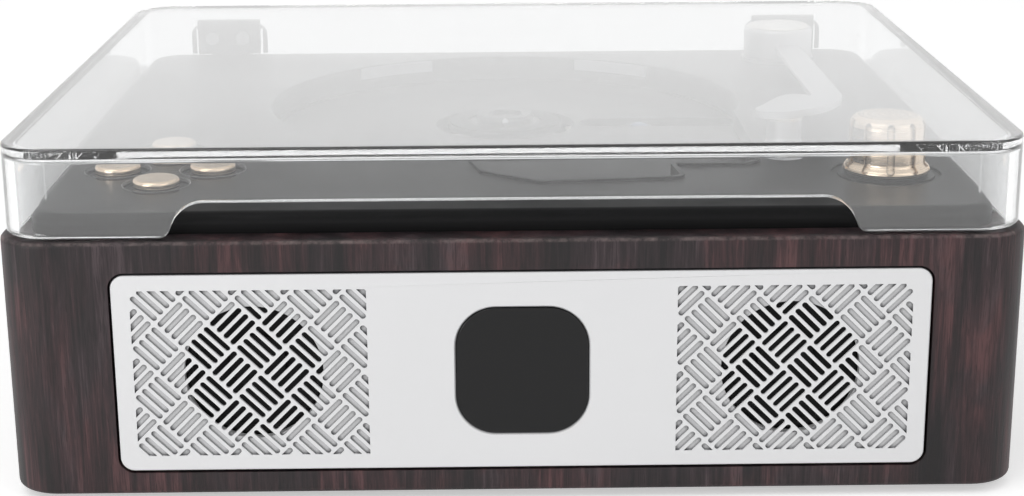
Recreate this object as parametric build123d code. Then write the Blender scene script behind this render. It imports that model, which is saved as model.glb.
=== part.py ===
from build123d import *
import os
from math import cos, pi, radians, sin, tan

# Desktop CD player: a wood-wrapped cabinet with two speakers in front, a raised
# deck with an open disc well, and a clear dust cover hinged at the rear.
# Millimetres. X runs right, Y runs back, Z up. The origin is on the table under
# the middle of the cabinet.

# Fits
FIT = 0.3            # gap round a piece that drops into an opening
RUN = 0.05           # radial clearance of a running fit
SLIDE_FIT = 0.08     # radial clearance of a button stem in its switch

# Cabinet
BODY_W = 220.0
BODY_D = 190.0
BODY_H = 57.0
STANDOFF = 2.0       # the feet lift the cabinet this far
BODY_CORNER_R = 10.5
BODY_EDGE_R = 1.2
WALL = 9.0
INNER_CORNER_R = 3.0

# Bottom cover, feet, corner blocks and the long screws through them
COVER_T = 3.0
FOOT_R = 7.0
FOOT_SEAT = 0.6      # depth of the foot's seat in the cover
FOOT_X = 86.0
FOOT_Y = 60.0
BLOCK = 17.0
BLOCK_H = 42.0
LONG_SCREW_R = 1.5
LONG_SCREW_HEAD_R = 3.0
LONG_SCREW_HEAD_T = 1.8
VENT_L = 22.0
VENT_W = 2.4
VENT_PITCH = 6.0
VENT_COUNT = 8

# Front panel. It stands a little right of the cabinet's middle, as photographed.
PANEL_X = 1.6
PANEL_Z = 29.65
PANEL_W = 174.2
PANEL_H = 44.2
PANEL_T = 2.5
PANEL_R = 3.0
PANEL_GAP = 0.5      # dark line round the panel
PANEL_EDGE_R = 0.4
PANEL_LAND = 4.0     # width of the rebate that backs the panel

# Grille fields: a basket weave of short slots, through only over the speakers
FIELD_SIDE = 3.95    # from the panel's edge to the field's outer edge
FIELD_W = 50.1
FIELD_H = 37.3
SLOT_W = 1.22
SLOT_DEPTH = 0.6
WEAVE_PERIOD = 11.07
SLOTS_PER_CELL = 4
SLOT_GAP = 0.6       # rib between the ends of neighbouring groups
WEAVE_SHIFT = 56.0   # a weave corner lies this far from the panel's middle
WEAVE_RISE = 0.25    # and this far above it
LEAST_SLOT = 0.6     # area of the smallest clipped slot that is cut
SPEAKER_X = 57.5
SPEAKER_HOLE_R = 14.9

# Display window
WINDOW = 28.3
WINDOW_R = 8.6
WINDOW_FIT = 0.1
WINDOW_BEVEL = 0.4
WINDOW_FLANGE = 1.2
WINDOW_FLANGE_EXTRA = 1.4
DISPLAY_BOARD_W = 42.0
DISPLAY_BOARD_H = 32.0
BOARD_T = 1.6
DISPLAY_BOARD_DEPTH = 12.0
DISPLAY_POST_X = 18.5
DISPLAY_POST_Z = 13.0
DISPLAY_POST_R = 2.2
DIGIT_W = 24.0
DIGIT_H = 15.0
DIGIT_T = 7.0
SMALL_SCREW_R = 1.0
SMALL_HEAD_R = 1.9
SMALL_HEAD_T = 1.3

# Speakers
BASKET = 35.2
BASKET_FLANGE_T = 1.2
BASKET_CORNER_R = 4.0
BASKET_RIM_R = 16.4
BASKET_NECK_R = 9.0
BASKET_DEPTH = 9.0
BASKET_SKIN = 1.0
BASKET_SCREW = 15.0
BASKET_WINDOWS = 4
GASKET_T = 0.8
MAGNET_R = 11.0
MAGNET_T = 5.0
MAGNET_BACK_T = 1.6
POLE_R = 4.4
COIL_R = 5.2
COIL_GAP = 0.8
CONE_T = 0.5

# Deck
DECK_RISE = 4.5
DECK_SKIN = 2.4
DECK_SIDE = 5.6      # cabinet top left bare beside the deck
DECK_FRONT = 6.4
DECK_REAR = 6.5
DECK_CORNER_R = 9.0
DECK_EDGE_R = 2.4
SKIRT = 3.2
RIM_T = 1.6
RIM_DROP = 4.0
DECK_BOSS_R = 4.0

# Disc well and its tray
HUB_X = -1.0
HUB_Y = 17.5
WELL_R = 61.0
WELL_DEPTH = 6.5
WELL_EASE = 0.35     # bevel on the well's upper edge
TRAY_WALL = 2.0
NOTCH_DEPTH = 4.0
NOTCH_RUN = 57.0     # right end of the finger notch
LIP_W = 1.2          # raised lip round the finger notch
LIP_H = 0.6
HUB_WINDOW_R = 18.2
PICKUP_SLOT_W = 9.4
PAD_T = 0.5
PAD_H = 3.0
PAD_DROP = 0.3
PAD_START = 48.0     # degrees from +X to the near end of the right pad
PAD_SPAN = 22.0

# Buttons
BUTTON_X = -79.6
BUTTON_Y = -50.9
BUTTON_STEP_X = 10.9     # from the middle of the diamond to each button
BUTTON_STEP_Y = 13.2
BUTTON_R = 5.2
BUTTON_RISE = 2.1
BUTTON_EDGE_R = 0.8
BUTTON_TRAVEL = 0.8
RING_R = 7.4
RING_DEPTH = 0.6
BUTTON_FLANGE_R = 6.4
BUTTON_FLANGE_T = 1.0
STEM_R = 1.7
TACT = 6.0
TACT_H = 3.5
BUTTON_BOARD_DROP = 12.0
BUTTON_BOARD = 36.0
BOARD_POST_R = 2.4

# Volume knob and control
KNOB_X = 85.2
KNOB_Y = -57.0
KNOB_R = 9.75        # flared foot
KNOB_BODY_R = 8.55
KNOB_CROWN_R = 2.4   # round upper edge
KNOB_FOOT_R = 1.0    # round lower edge
KNOB_FLARE_H = 3.0   # the flare starts this high above the foot
KNOB_H = 10.9
KNOB_LIFT = 0.3
KNOB_FLUTES = 10
FLUTE_START = 13.0   # degrees from +X to the first flute
FLUTE_W = 1.8
FLUTE_DEPTH = 0.8
KNOB_GROOVE_R = 12.4
KNOB_GROOVE_W = 1.4
KNOB_GROOVE_DEPTH = 0.5
KNOB_CAVITY_R = 6.6
KNOB_CAVITY_H = 2.6
POT_R = 8.2
POT_H = 8.0
BUSHING_R = 3.4
SHAFT_R = 3.0
NUT_FLATS = 10.0
NUT_T = 1.6
SHAFT_FLAT = 0.8     # depth of the flat on the control's shaft

# Tonearm
ARM_X = 78.6
ARM_Y = 72.0
ARM_SWING = 28.0     # degrees from the rest inwards over the disc
COLLAR_R = 10.3
COLLAR_H = 1.0
COLUMN_R = 9.7
COLUMN_TOP = 9.4     # top of the column above the deck
COLUMN_LIFT = 0.3
COLUMN_CAP_R = 8.6
COLUMN_CAP_T = 0.6
ARM_W = 7.4
ARM_T = 1.6
ARM_EDGE_R = 0.5
ARM_ROOT_Z = 4.2     # middle of the bar above the deck where it leaves the column
ARM_HEAD_Z = 8.3     # underside of the head above the deck
ARM_SHAFT_R = 2.5
BUSH_R = 4.5
BUSH_FLANGE_R = 7.0
BUSH_FLANGE_T = 1.2
BUSH_L = 9.0
CAM_R = 5.0
CAM_LOBE_R = 7.5
CAM_T = 2.2
MICRO_L = 12.8
MICRO_W = 6.0
MICRO_H = 6.5
POST_X = 64.4
POST_Y = -39.4
POST_R = 4.1
POST_FOOT_R = 5.2
POST_FOOT_H = 2.6    # height of the flared foot
POST_CAP_R = 4.4
POST_CAP_T = 1.4
POST_GAP = 0.3       # between the rest and the parked head

# Disc mechanism
CHASSIS_T = 1.2
CHASSIS_DROP = 10.3  # from the tray's underside to the chassis plate's top
CHASSIS_X0 = -32.0
CHASSIS_X1 = 69.0
CHASSIS_Y0 = -17.0
CHASSIS_Y1 = 60.0
MOUNT_POINTS = [(-26, -11), (44, -11), (-26, 53), (44, 53)]
DAMPER_R = 4.5
DAMPER_GRIP = 1.9    # rubber above and below the plate
DAMPER_NECK_R = 3.2
MOUNT_POST_R = 2.6
MOUNT_SCREW_R = 1.4
SPINDLE_MOTOR_R = 11.0
SPINDLE_MOTOR_H = 7.0
PLATTER_R = 15.0
PLATTER_T = 1.4
PLATTER_Z = 0.6      # platter top above the well floor
DISC_BOSS_R = 7.35
DISC_BOSS_H = 2.2
HUB_SHAFT_R = 1.0
BALL_R = 1.1
BALL_OUT = 6.85
BALLS = 3
DISC_MAT_T = 0.5
ROD_R = 1.5
ROD_DROP = 6.5       # from the tray's underside to the rods' axes
ROD_BACK = 17.0
ROD_FRONT = -15.0
ROD_X0 = 9.0
ROD_X1 = 68.0
PICKUP_X = 34.5      # lens position at rest
PICKUP_IN = 12.0     # travel inwards and outwards
PICKUP_OUT = 20.5
SLED_HALF = 8.5
LENS_HOLDER_R = 3.4
LENS_R = 2.3
GEAR_MODULE = 0.6
FEED_TEETH = 24
PINION_TEETH = 8
GEAR_T = 2.5
FEED_X = 24.0
RACK_BACK = 21.6     # from the hub's line to the rack's flat back
FEED_MOTOR_R = 6.0
FEED_MOTOR_H = 9.0

# Rear panel, sockets, switch and main board
REAR_X = -20.0
REAR_Z = 16.0
REAR_W = 86.0
REAR_H = 20.0
REAR_T = 2.0
REAR_INSET = 1.5
REAR_LAND = 4.0
REAR_R = 2.0
MAIN_W = 74.0
MAIN_D = 62.0
MAIN_POST_H = 4.4
USB_C_X = -50.0
AUDIO_X = -34.0
USB_A_X = -14.0
SWITCH_X = 6.0
SWITCH_TRAVEL = 2.0

# Dust cover, hinges and bumpers
LID_W = 217.5
LID_D = 189.0
LID_T = 2.6
LID_Z0 = 59.6
LID_Z1 = 79.0
LID_CORNER_R = 11.0
LID_EDGE_R = 0.7
LID_INNER_R = 1.0    # inside, where the top meets the walls
LID_RIM_R = 0.5      # lower rim and the edge of the finger cut-out
CUT_HALF = 64.9      # half length of the finger cut-out's straight top
CUT_H = 7.6
CUT_TOP_R = 7.5
CUT_LOW_R = 2.5
CUT_SLOPE = 68.0     # steepest part of its ends
BUMPER_R = 1.5
BUMPER_GAP = 0.2
HINGE_X = 82.6
HINGE_AXIS_RISE = 2.6    # hinge axis above the cover's lower edge
KNUCKLE_R = 1.7
PIN_R = 0.7
LEAF_W = 22.4
LEAF_PLATE_W = 18.4
LEAF_T = 2.0
LEAF_ARCH_T = 0.8
LEAF_SLOT = 0.7
LEAF_FOOT = 63.0
LEAF_LOW = 65.0
LEAF_SHOULDER = 71.6
LEAF_TOP = 73.0
KNUCKLE_W = 6.0
BASE_W = 18.0
BASE_T = 1.0
BASE_GAP = 0.4       # between the deck's rear and the hinge foot
BASE_SCREW_X = 7.2   # from the hinge's middle
BASE_KNUCKLE_W = 2.2
HINGE_NOTCH_W = 18.6
HINGE_NOTCH_TOP = 66.0

# Levels and edges that follow from the sizes above
BODY_Z0 = STANDOFF
BODY_Z1 = BODY_Z0 + BODY_H
FRONT_Y = -BODY_D / 2
REAR_Y = BODY_D / 2
INSIDE_X = BODY_W / 2 - WALL
INSIDE_Y = BODY_D / 2 - WALL
COVER_TOP = BODY_Z0 + COVER_T
BLOCK_TOP = COVER_TOP + BLOCK_H
BLOCK_X = INSIDE_X - BLOCK / 2
BLOCK_Y = INSIDE_Y - BLOCK / 2
DECK_Z = BODY_Z1 + DECK_RISE
DECK_UNDER = DECK_Z - DECK_SKIN
DECK_W = BODY_W - 2 * DECK_SIDE
DECK_D = BODY_D - DECK_FRONT - DECK_REAR
DECK_CY = (DECK_FRONT - DECK_REAR) / 2
WELL_Z = DECK_Z - WELL_DEPTH
TRAY_UNDER = WELL_Z - TRAY_WALL
NOTCH_Z = DECK_Z - NOTCH_DEPTH
CHASSIS_TOP = TRAY_UNDER - CHASSIS_DROP
CHASSIS_UNDER = CHASSIS_TOP - CHASSIS_T
ROD_Z = TRAY_UNDER - ROD_DROP
AXIS_Z = LID_Z0 + HINGE_AXIS_RISE
AXIS_Y = LID_D / 2 - LID_T / 2
LID_INNER_Y = LID_D / 2 - LID_T
BUTTON_PLACES = {
    "left": (BUTTON_X - BUTTON_STEP_X, BUTTON_Y),
    "right": (BUTTON_X + BUTTON_STEP_X, BUTTON_Y),
    "front": (BUTTON_X, BUTTON_Y - BUTTON_STEP_Y),
    "back": (BUTTON_X, BUTTON_Y + BUTTON_STEP_Y),
}
BUTTON_BOARD_TOP = DECK_UNDER - BUTTON_BOARD_DROP + BOARD_T
MAIN_Z = COVER_TOP + MAIN_POST_H
MAIN_Y1 = REAR_Y - REAR_INSET - REAR_T - FIT
MAIN_Y0 = MAIN_Y1 - MAIN_D

# The front panel's own plane: X right, Y up, Z out towards the front
FRONT = Plane(origin=(PANEL_X, FRONT_Y, PANEL_Z), x_dir=(1, 0, 0), z_dir=(0, -1, 0))


def block(x0, x1, y0, y1, z0, z1):
    centre = Pos((x0 + x1) / 2, (y0 + y1) / 2, (z0 + z1) / 2)
    return centre * Box(x1 - x0, y1 - y0, z1 - z0)


def round_block(x, y, w, d, r, z0, z1):
    return Pos(x, y, z0) * extrude(RectangleRounded(w, d, r), z1 - z0)


def post(x, y, z0, z1, r):
    return Pos(x, y, (z0 + z1) / 2) * Cylinder(r, z1 - z0)


def ring(x, y, z0, z1, outer, inner):
    return post(x, y, z0, z1, outer) - post(x, y, z0, z1, inner)


def rod_x(x0, x1, y, z, r):
    return Pos((x0 + x1) / 2, y, z) * Rot(0, 90, 0) * Cylinder(r, x1 - x0)


def rod_y(y0, y1, x, z, r):
    return Pos(x, (y0 + y1) / 2, z) * Rot(90, 0, 0) * Cylinder(r, y1 - y0)


def screw(x, y, z_head, length, r, head_r, head_t, up=True):
    """A pan head screw whose head starts at z_head and whose shank runs up or down."""
    way = 1 if up else -1
    z_neck = z_head + way * head_t
    z_tip = z_neck + way * length
    head = post(x, y, min(z_head, z_neck), max(z_head, z_neck), head_r)
    slot_z = z_head + way * head_t / 4
    head -= Pos(x, y, slot_z) * Box(head_r * 1.4, head_r * 0.3, head_t / 2)
    head -= Pos(x, y, slot_z) * Box(head_r * 0.3, head_r * 1.4, head_t / 2)
    return head + post(x, y, min(z_neck, z_tip), max(z_neck, z_tip), r)


def save(name, shape):
    """Writes one node. A list becomes a group of separate solids."""
    if isinstance(shape, (list, tuple)):
        solids = [s for item in shape for s in item.solids()]
        shape = Compound(children=solids) if len(solids) > 1 else solids[0]
    elif len(shape.solids()) == 1:
        shape = shape.solids()[0]
    shape.label = name
    export_step(shape, "parts/" + name + ".step")


def corners(x, y):
    return [(sx * x, sy * y) for sx in (-1, 1) for sy in (-1, 1)]


# Cabinet and base

def make_cabinet():
    body = round_block(0, 0, BODY_W, BODY_D, BODY_CORNER_R, BODY_Z0, BODY_Z1)
    rims = body.faces().sort_by(Axis.Z)[-1].edges() + body.faces().sort_by(Axis.Z)[0].edges()
    body = fillet(rims, BODY_EDGE_R)
    body -= round_block(0, 0, 2 * INSIDE_X, 2 * INSIDE_Y, INNER_CORNER_R, BODY_Z0, BODY_Z1)
    rebate = RectangleRounded(PANEL_W + 2 * PANEL_GAP, PANEL_H + 2 * PANEL_GAP, PANEL_R + PANEL_GAP)
    body -= FRONT * extrude(rebate, -PANEL_T)
    opening_w = PANEL_W - 2 * PANEL_LAND
    opening_h = PANEL_H - 2 * PANEL_LAND
    body -= FRONT * extrude(RectangleRounded(opening_w, opening_h, 2.0), -WALL)
    rear = Plane(origin=(REAR_X, REAR_Y, REAR_Z), x_dir=(-1, 0, 0), z_dir=(0, 1, 0))
    body -= rear * extrude(RectangleRounded(REAR_W, REAR_H, REAR_R), -(REAR_INSET + REAR_T))
    inner = RectangleRounded(REAR_W - 2 * REAR_LAND, REAR_H - REAR_LAND, 1.0)
    body -= rear * extrude(inner, -WALL)
    for x, z in rear_screw_places():
        body -= rod_y(REAR_Y - WALL + 1, REAR_Y, x, z, SMALL_SCREW_R)
    for x, y in hinge_screws():
        body -= post(x, y, BODY_Z1 - 5.5, BODY_Z1, SMALL_SCREW_R)
    return body


def rear_screw_places():
    x = REAR_W / 2 - REAR_LAND / 2
    return [(REAR_X - x, REAR_Z), (REAR_X + x, REAR_Z)]


def hinge_screws():
    y = (DECK_CY + DECK_D / 2 + BASE_GAP + REAR_Y - 1.4) / 2
    return [(side * HINGE_X + sx * BASE_SCREW_X, y) for side in (-1, 1) for sx in (-1, 1)]


def make_bottom_cover():
    w = 2 * INSIDE_X - 2 * FIT
    d = 2 * INSIDE_Y - 2 * FIT
    plate = round_block(0, 0, w, d, INNER_CORNER_R, BODY_Z0, COVER_TOP)
    for x, y in corners(BLOCK_X, BLOCK_Y):
        plate -= post(x, y, BODY_Z0, COVER_TOP, LONG_SCREW_R + RUN)
        plate -= post(x, y, BODY_Z0, BODY_Z0 + LONG_SCREW_HEAD_T, LONG_SCREW_HEAD_R + RUN)
    for x, y in corners(FOOT_X, FOOT_Y):
        plate -= post(x, y, BODY_Z0, BODY_Z0 + FOOT_SEAT, FOOT_R)
    for row in (-1, 1):
        for i in range(VENT_COUNT):
            y = (i - (VENT_COUNT - 1) / 2) * VENT_PITCH - 30
            vent = SlotOverall(VENT_L, VENT_W)
            plate -= Pos(row * (VENT_L / 2 + 6), y, BODY_Z0) * extrude(vent, COVER_T)
    for x, y in main_post_places():
        plate += post(x, y, COVER_TOP, MAIN_Z, 3.0)
        plate -= post(x, y, MAIN_Z - 4, MAIN_Z, SMALL_SCREW_R)
    return plate


def main_post_places():
    x = MAIN_W / 2 - 4
    return [(REAR_X + sx * x, y) for sx in (-1, 1) for y in (MAIN_Y0 + 5, MAIN_Y1 - 12)]


def make_foot(x, y):
    foot = post(x, y, 0, BODY_Z0 + FOOT_SEAT, FOOT_R)
    return chamfer(foot.faces().sort_by(Axis.Z)[0].edges(), 0.6)


def make_corner_block(x, y):
    half = BLOCK / 2
    body = block(x - half, x + half, y - half, y + half, COVER_TOP, BLOCK_TOP)
    sx = 1 if x > 0 else -1
    sy = 1 if y > 0 else -1
    hidden = round_block(0, 0, 2 * INSIDE_X, 2 * INSIDE_Y, INNER_CORNER_R, COVER_TOP, BLOCK_TOP)
    body &= hidden
    body -= post(x, y, COVER_TOP, BLOCK_TOP, LONG_SCREW_R + RUN)
    inner_edge = Pos(x - sx * half, y - sy * half) * Rot(0, 0, 45)
    return body - inner_edge * Box(5, 5, 2 * BLOCK_TOP)


def make_long_screw(x, y):
    length = DECK_UNDER - 3 - BODY_Z0 - LONG_SCREW_HEAD_T
    return screw(x, y, BODY_Z0, length, LONG_SCREW_R, LONG_SCREW_HEAD_R, LONG_SCREW_HEAD_T)


# Front panel, window and display

def weave_cells(side):
    """Centres of the weave's cells in the panel's plane, with each cell's slot angle."""
    mid = side * WEAVE_SHIFT
    count = int(FIELD_W / WEAVE_PERIOD) + 2
    cells = []
    for i in range(-count, count + 1):
        for j in range(-count, count + 1):
            x = mid + i * WEAVE_PERIOD
            y = j * WEAVE_PERIOD + WEAVE_RISE
            cells.append((x + WEAVE_PERIOD / 2, y, -side * 45))
            cells.append((x, y + WEAVE_PERIOD / 2, side * 45))
    return cells


def grille_slots(side):
    """The slots of one grille field, clipped by the field's straight edges."""
    field_x = side * (PANEL_W / 2 - FIELD_SIDE - FIELD_W / 2)
    field = Pos(field_x, 0) * Rectangle(FIELD_W, FIELD_H)
    cell = WEAVE_PERIOD / 2 ** 0.5
    pitch = cell / SLOTS_PER_CELL
    slots = []
    for x, y, angle in weave_cells(side):
        if abs(x - field_x) > FIELD_W / 2 + cell or abs(y) > FIELD_H / 2 + cell:
            continue
        for k in range(SLOTS_PER_CELL):
            across = (k - (SLOTS_PER_CELL - 1) / 2) * pitch
            slot = Pos(x, y) * Rot(0, 0, angle) * Pos(0, across) * SlotOverall(cell - SLOT_GAP, SLOT_W)
            clipped = slot & field
            if clipped:
                slots += [f for f in clipped.faces() if f.area > LEAST_SLOT]
    return slots


def make_front_panel():
    panel = extrude(RectangleRounded(PANEL_W, PANEL_H, PANEL_R), -PANEL_T)
    panel = fillet(panel.faces().sort_by(Axis.Z)[-1].edges(), PANEL_EDGE_R)
    hole = WINDOW + 2 * WINDOW_FIT
    panel -= extrude(RectangleRounded(hole, hole, WINDOW_R + WINDOW_FIT), -PANEL_T)
    rim = panel.faces().filter_by(Plane.XY).sort_by(Axis.Z)[-1].inner_wires()[0].edges()
    panel = chamfer(rim, WINDOW_BEVEL)
    for side in (-1, 1):
        panel -= Pos(side * SPEAKER_X, 0, -PANEL_T) * extrude(Circle(SPEAKER_HOLE_R), PANEL_T - SLOT_DEPTH)
        panel -= [extrude(face, SLOT_DEPTH, dir=(0, 0, -1)) for face in grille_slots(side)]
        for x, y in corners(BASKET_SCREW, BASKET_SCREW):
            at = Pos(side * SPEAKER_X + x, y, -PANEL_T - GASKET_T / 2)
            panel += at * Cylinder(2.3, GASKET_T)
            panel -= Pos(side * SPEAKER_X + x, y, -PANEL_T) * Cylinder(SMALL_SCREW_R, 2 * GASKET_T + 0.6)
    depth = DISPLAY_BOARD_DEPTH - PANEL_T
    for x, y in corners(DISPLAY_POST_X, DISPLAY_POST_Z):
        panel += Pos(x, y, -PANEL_T - depth / 2) * Cylinder(DISPLAY_POST_R, depth)
        panel -= Pos(x, y, -DISPLAY_BOARD_DEPTH + 2) * Cylinder(SMALL_SCREW_R, 4.001)
    for x in (-30, 30):
        for side in (-1, 1):
            panel += make_panel_hook(x, side)
    return FRONT * panel


def make_panel_hook(x, side):
    """A snap hook that runs through the cabinet's front wall and grips its back."""
    half = PANEL_H / 2 - PANEL_LAND
    arm_len = WALL - PANEL_T + 0.2
    arm = Pos(x, side * (half - 0.9), -PANEL_T - arm_len / 2) * Box(7, 1.4, arm_len)
    lip = Pos(x, side * (half - 0.15), -PANEL_T - arm_len - 0.6) * Box(7, 2.9, 1.2)
    return arm + lip


def make_window():
    face = extrude(RectangleRounded(WINDOW, WINDOW, WINDOW_R), -PANEL_T)
    face = fillet(face.faces().sort_by(Axis.Z)[-1].edges(), 0.25)
    side = WINDOW + 2 * WINDOW_FLANGE_EXTRA
    flange = Pos(0, 0, -PANEL_T) * extrude(RectangleRounded(side, side, WINDOW_R), -WINDOW_FLANGE)
    return FRONT * (face + flange)


def make_display_board():
    board = Pos(0, 0, -DISPLAY_BOARD_DEPTH) * extrude(
        RectangleRounded(DISPLAY_BOARD_W, DISPLAY_BOARD_H, 1.5), -BOARD_T)
    for x, y in corners(DISPLAY_POST_X, DISPLAY_POST_Z):
        board -= Pos(x, y, -DISPLAY_BOARD_DEPTH) * Cylinder(SMALL_SCREW_R + RUN, 3 * BOARD_T)
    return FRONT * board


def make_digits():
    """Two seven segment digits behind the smoked window."""
    base = Pos(0, 0, -DISPLAY_BOARD_DEPTH) * extrude(RectangleRounded(DIGIT_W, DIGIT_H, 0.6), DIGIT_T)
    top = DIGIT_T - DISPLAY_BOARD_DEPTH
    bar = DIGIT_H * 0.32
    for x in (-DIGIT_W / 4, DIGIT_W / 4):
        for y in (-bar, 0, bar):
            base -= Pos(x, y, top) * Box(bar * 0.8, 0.9, 0.4)
        for y in (-bar / 2, bar / 2):
            for dx in (-bar / 2, bar / 2):
                base -= Pos(x + dx, y, top) * Box(0.9, bar * 0.7, 0.4)
    return FRONT * base


def make_display_screws():
    z = -DISPLAY_BOARD_DEPTH - BOARD_T
    out = []
    for x, y in corners(DISPLAY_POST_X, DISPLAY_POST_Z):
        shank = Pos(x, y, z + 2.2) * Cylinder(SMALL_SCREW_R, 4.4)
        head = Pos(x, y, z - SMALL_HEAD_T / 2) * Cylinder(SMALL_HEAD_R, SMALL_HEAD_T)
        out.append(FRONT * (shank + head))
    return out


# Speakers, built in the panel's plane with Z towards the front

def revolve_profile(points):
    return revolve(Plane.XZ * make_face(Polyline(*points, close=True)), Axis.Z)


def speaker_place(side):
    return FRONT * Pos(side * SPEAKER_X, 0, -PANEL_T)


def make_gasket(side):
    outer = RectangleRounded(BASKET, BASKET, BASKET_CORNER_R)
    pad = extrude(outer - Circle(SPEAKER_HOLE_R + 0.6), -GASKET_T)
    for x, y in corners(BASKET_SCREW, BASKET_SCREW):
        pad -= Pos(x, y) * Cylinder(2.3 + RUN, 4 * GASKET_T)
    return speaker_place(side) * pad


def make_basket(side):
    z0 = -GASKET_T
    z1 = z0 - BASKET_FLANGE_T
    z2 = z0 - BASKET_DEPTH
    flange = Pos(0, 0, z0) * extrude(RectangleRounded(BASKET, BASKET, BASKET_CORNER_R), -BASKET_FLANGE_T)
    flange -= Cylinder(BASKET_RIM_R - BASKET_SKIN, 20)
    for x, y in corners(BASKET_SCREW, BASKET_SCREW):
        flange -= Pos(x, y) * Cylinder(SMALL_SCREW_R + RUN, 20)
    shell = revolve_profile([
        (BASKET_RIM_R - BASKET_SKIN, z1), (BASKET_RIM_R, z1), (BASKET_RIM_R, z1 - 1.5),
        (BASKET_NECK_R + BASKET_SKIN + 1.5, z2), (POLE_R + COIL_GAP + 1.2, z2),
        (POLE_R + COIL_GAP + 1.2, z2 + BASKET_SKIN), (BASKET_NECK_R + 1, z2 + BASKET_SKIN),
        (BASKET_RIM_R - BASKET_SKIN, z1 - 1.2)])
    frame = flange + shell
    for i in range(BASKET_WINDOWS):
        reach = Rot(0, 0, 90 * i) * Pos(BASKET_RIM_R, 0, (z1 + z2) / 2 - 0.6)
        frame -= reach * Box(9, 10, BASKET_DEPTH - BASKET_FLANGE_T - 3.6)
    return speaker_place(side) * frame


def make_magnet(side):
    z0 = -GASKET_T - BASKET_DEPTH
    z1 = z0 - MAGNET_T
    z2 = z1 - MAGNET_BACK_T
    gap_r = POLE_R + COIL_GAP + 1.2
    cup = revolve_profile([
        (0, z0 + 0.6), (POLE_R, z0 + 0.6), (POLE_R, z1), (gap_r, z1), (gap_r, z0),
        (MAGNET_R, z0), (MAGNET_R, z1), (MAGNET_R - 0.8, z1), (MAGNET_R - 0.8, z2), (0, z2)])
    return speaker_place(side) * cup


def make_cone(side):
    """Rubber surround, paper cone, dust cap and coil former in one thin shell."""
    z_rim = -GASKET_T - 0.2
    outer = BASKET_RIM_R - BASKET_SKIN
    roll = 1.3
    neck_z = -GASKET_T - 6.0
    coil_z = -GASKET_T - BASKET_DEPTH - 2.4
    mid = outer - 2 * roll
    shell = revolve_profile([
        (outer, z_rim - CONE_T), (outer, z_rim - 2 * CONE_T), (mid, z_rim - 2 * CONE_T - 0.3),
        (COIL_R + CONE_T, neck_z - CONE_T), (COIL_R + CONE_T, coil_z), (COIL_R, coil_z),
        (COIL_R, neck_z), (mid, z_rim - CONE_T - 0.3)])
    roll_ring = revolve(
        Plane.XZ * Pos(outer - roll, z_rim - 1.5 * CONE_T) * (Circle(roll) - Circle(roll - CONE_T)), Axis.Z)
    keep = Pos(0, 0, z_rim - 1.5 * CONE_T) * extrude(Circle(outer), roll)
    cap = Pos(0, 0, neck_z + 1.2) * extrude(Circle(COIL_R + 0.9), CONE_T)
    return speaker_place(side) * (shell + (roll_ring & keep) + cap)


def make_speaker_screws():
    out = []
    for side in (-1, 1):
        for x, y in corners(BASKET_SCREW, BASKET_SCREW):
            z = -GASKET_T - BASKET_FLANGE_T
            shank = Pos(x, y, z + 1.35) * Cylinder(SMALL_SCREW_R, 2.7)
            head = Pos(x, y, z - 0.5) * Cylinder(SMALL_HEAD_R, 1.0)
            out.append(speaker_place(side) * (shank + head))
    return out


# Deck and disc tray

def deck_outline(inset):
    outline = RectangleRounded(DECK_W - 2 * inset, DECK_D - 2 * inset, DECK_CORNER_R - inset)
    return Pos(0, DECK_CY) * outline


def notch_outline():
    """The finger notch: an angular bay in front of the well, shallower than the well."""
    points = [
        (-8.9, -40.0), (-8.9, -43.1), (-6.1, -53.8), (6.6, -63.5), (38.1, -60.0),
        (36.7, -47.7), (NOTCH_RUN - 2.6, -47.8), (NOTCH_RUN, -45.2), (NOTCH_RUN, 5.0), (20.0, 5.0)]
    face = make_face(Polyline(*points, close=True))
    return fillet([v for v in face.vertices() if v.Y < -45], 1.2)


def well_circle(extra=0):
    return Pos(HUB_X, HUB_Y) * Circle(WELL_R + extra)


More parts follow.
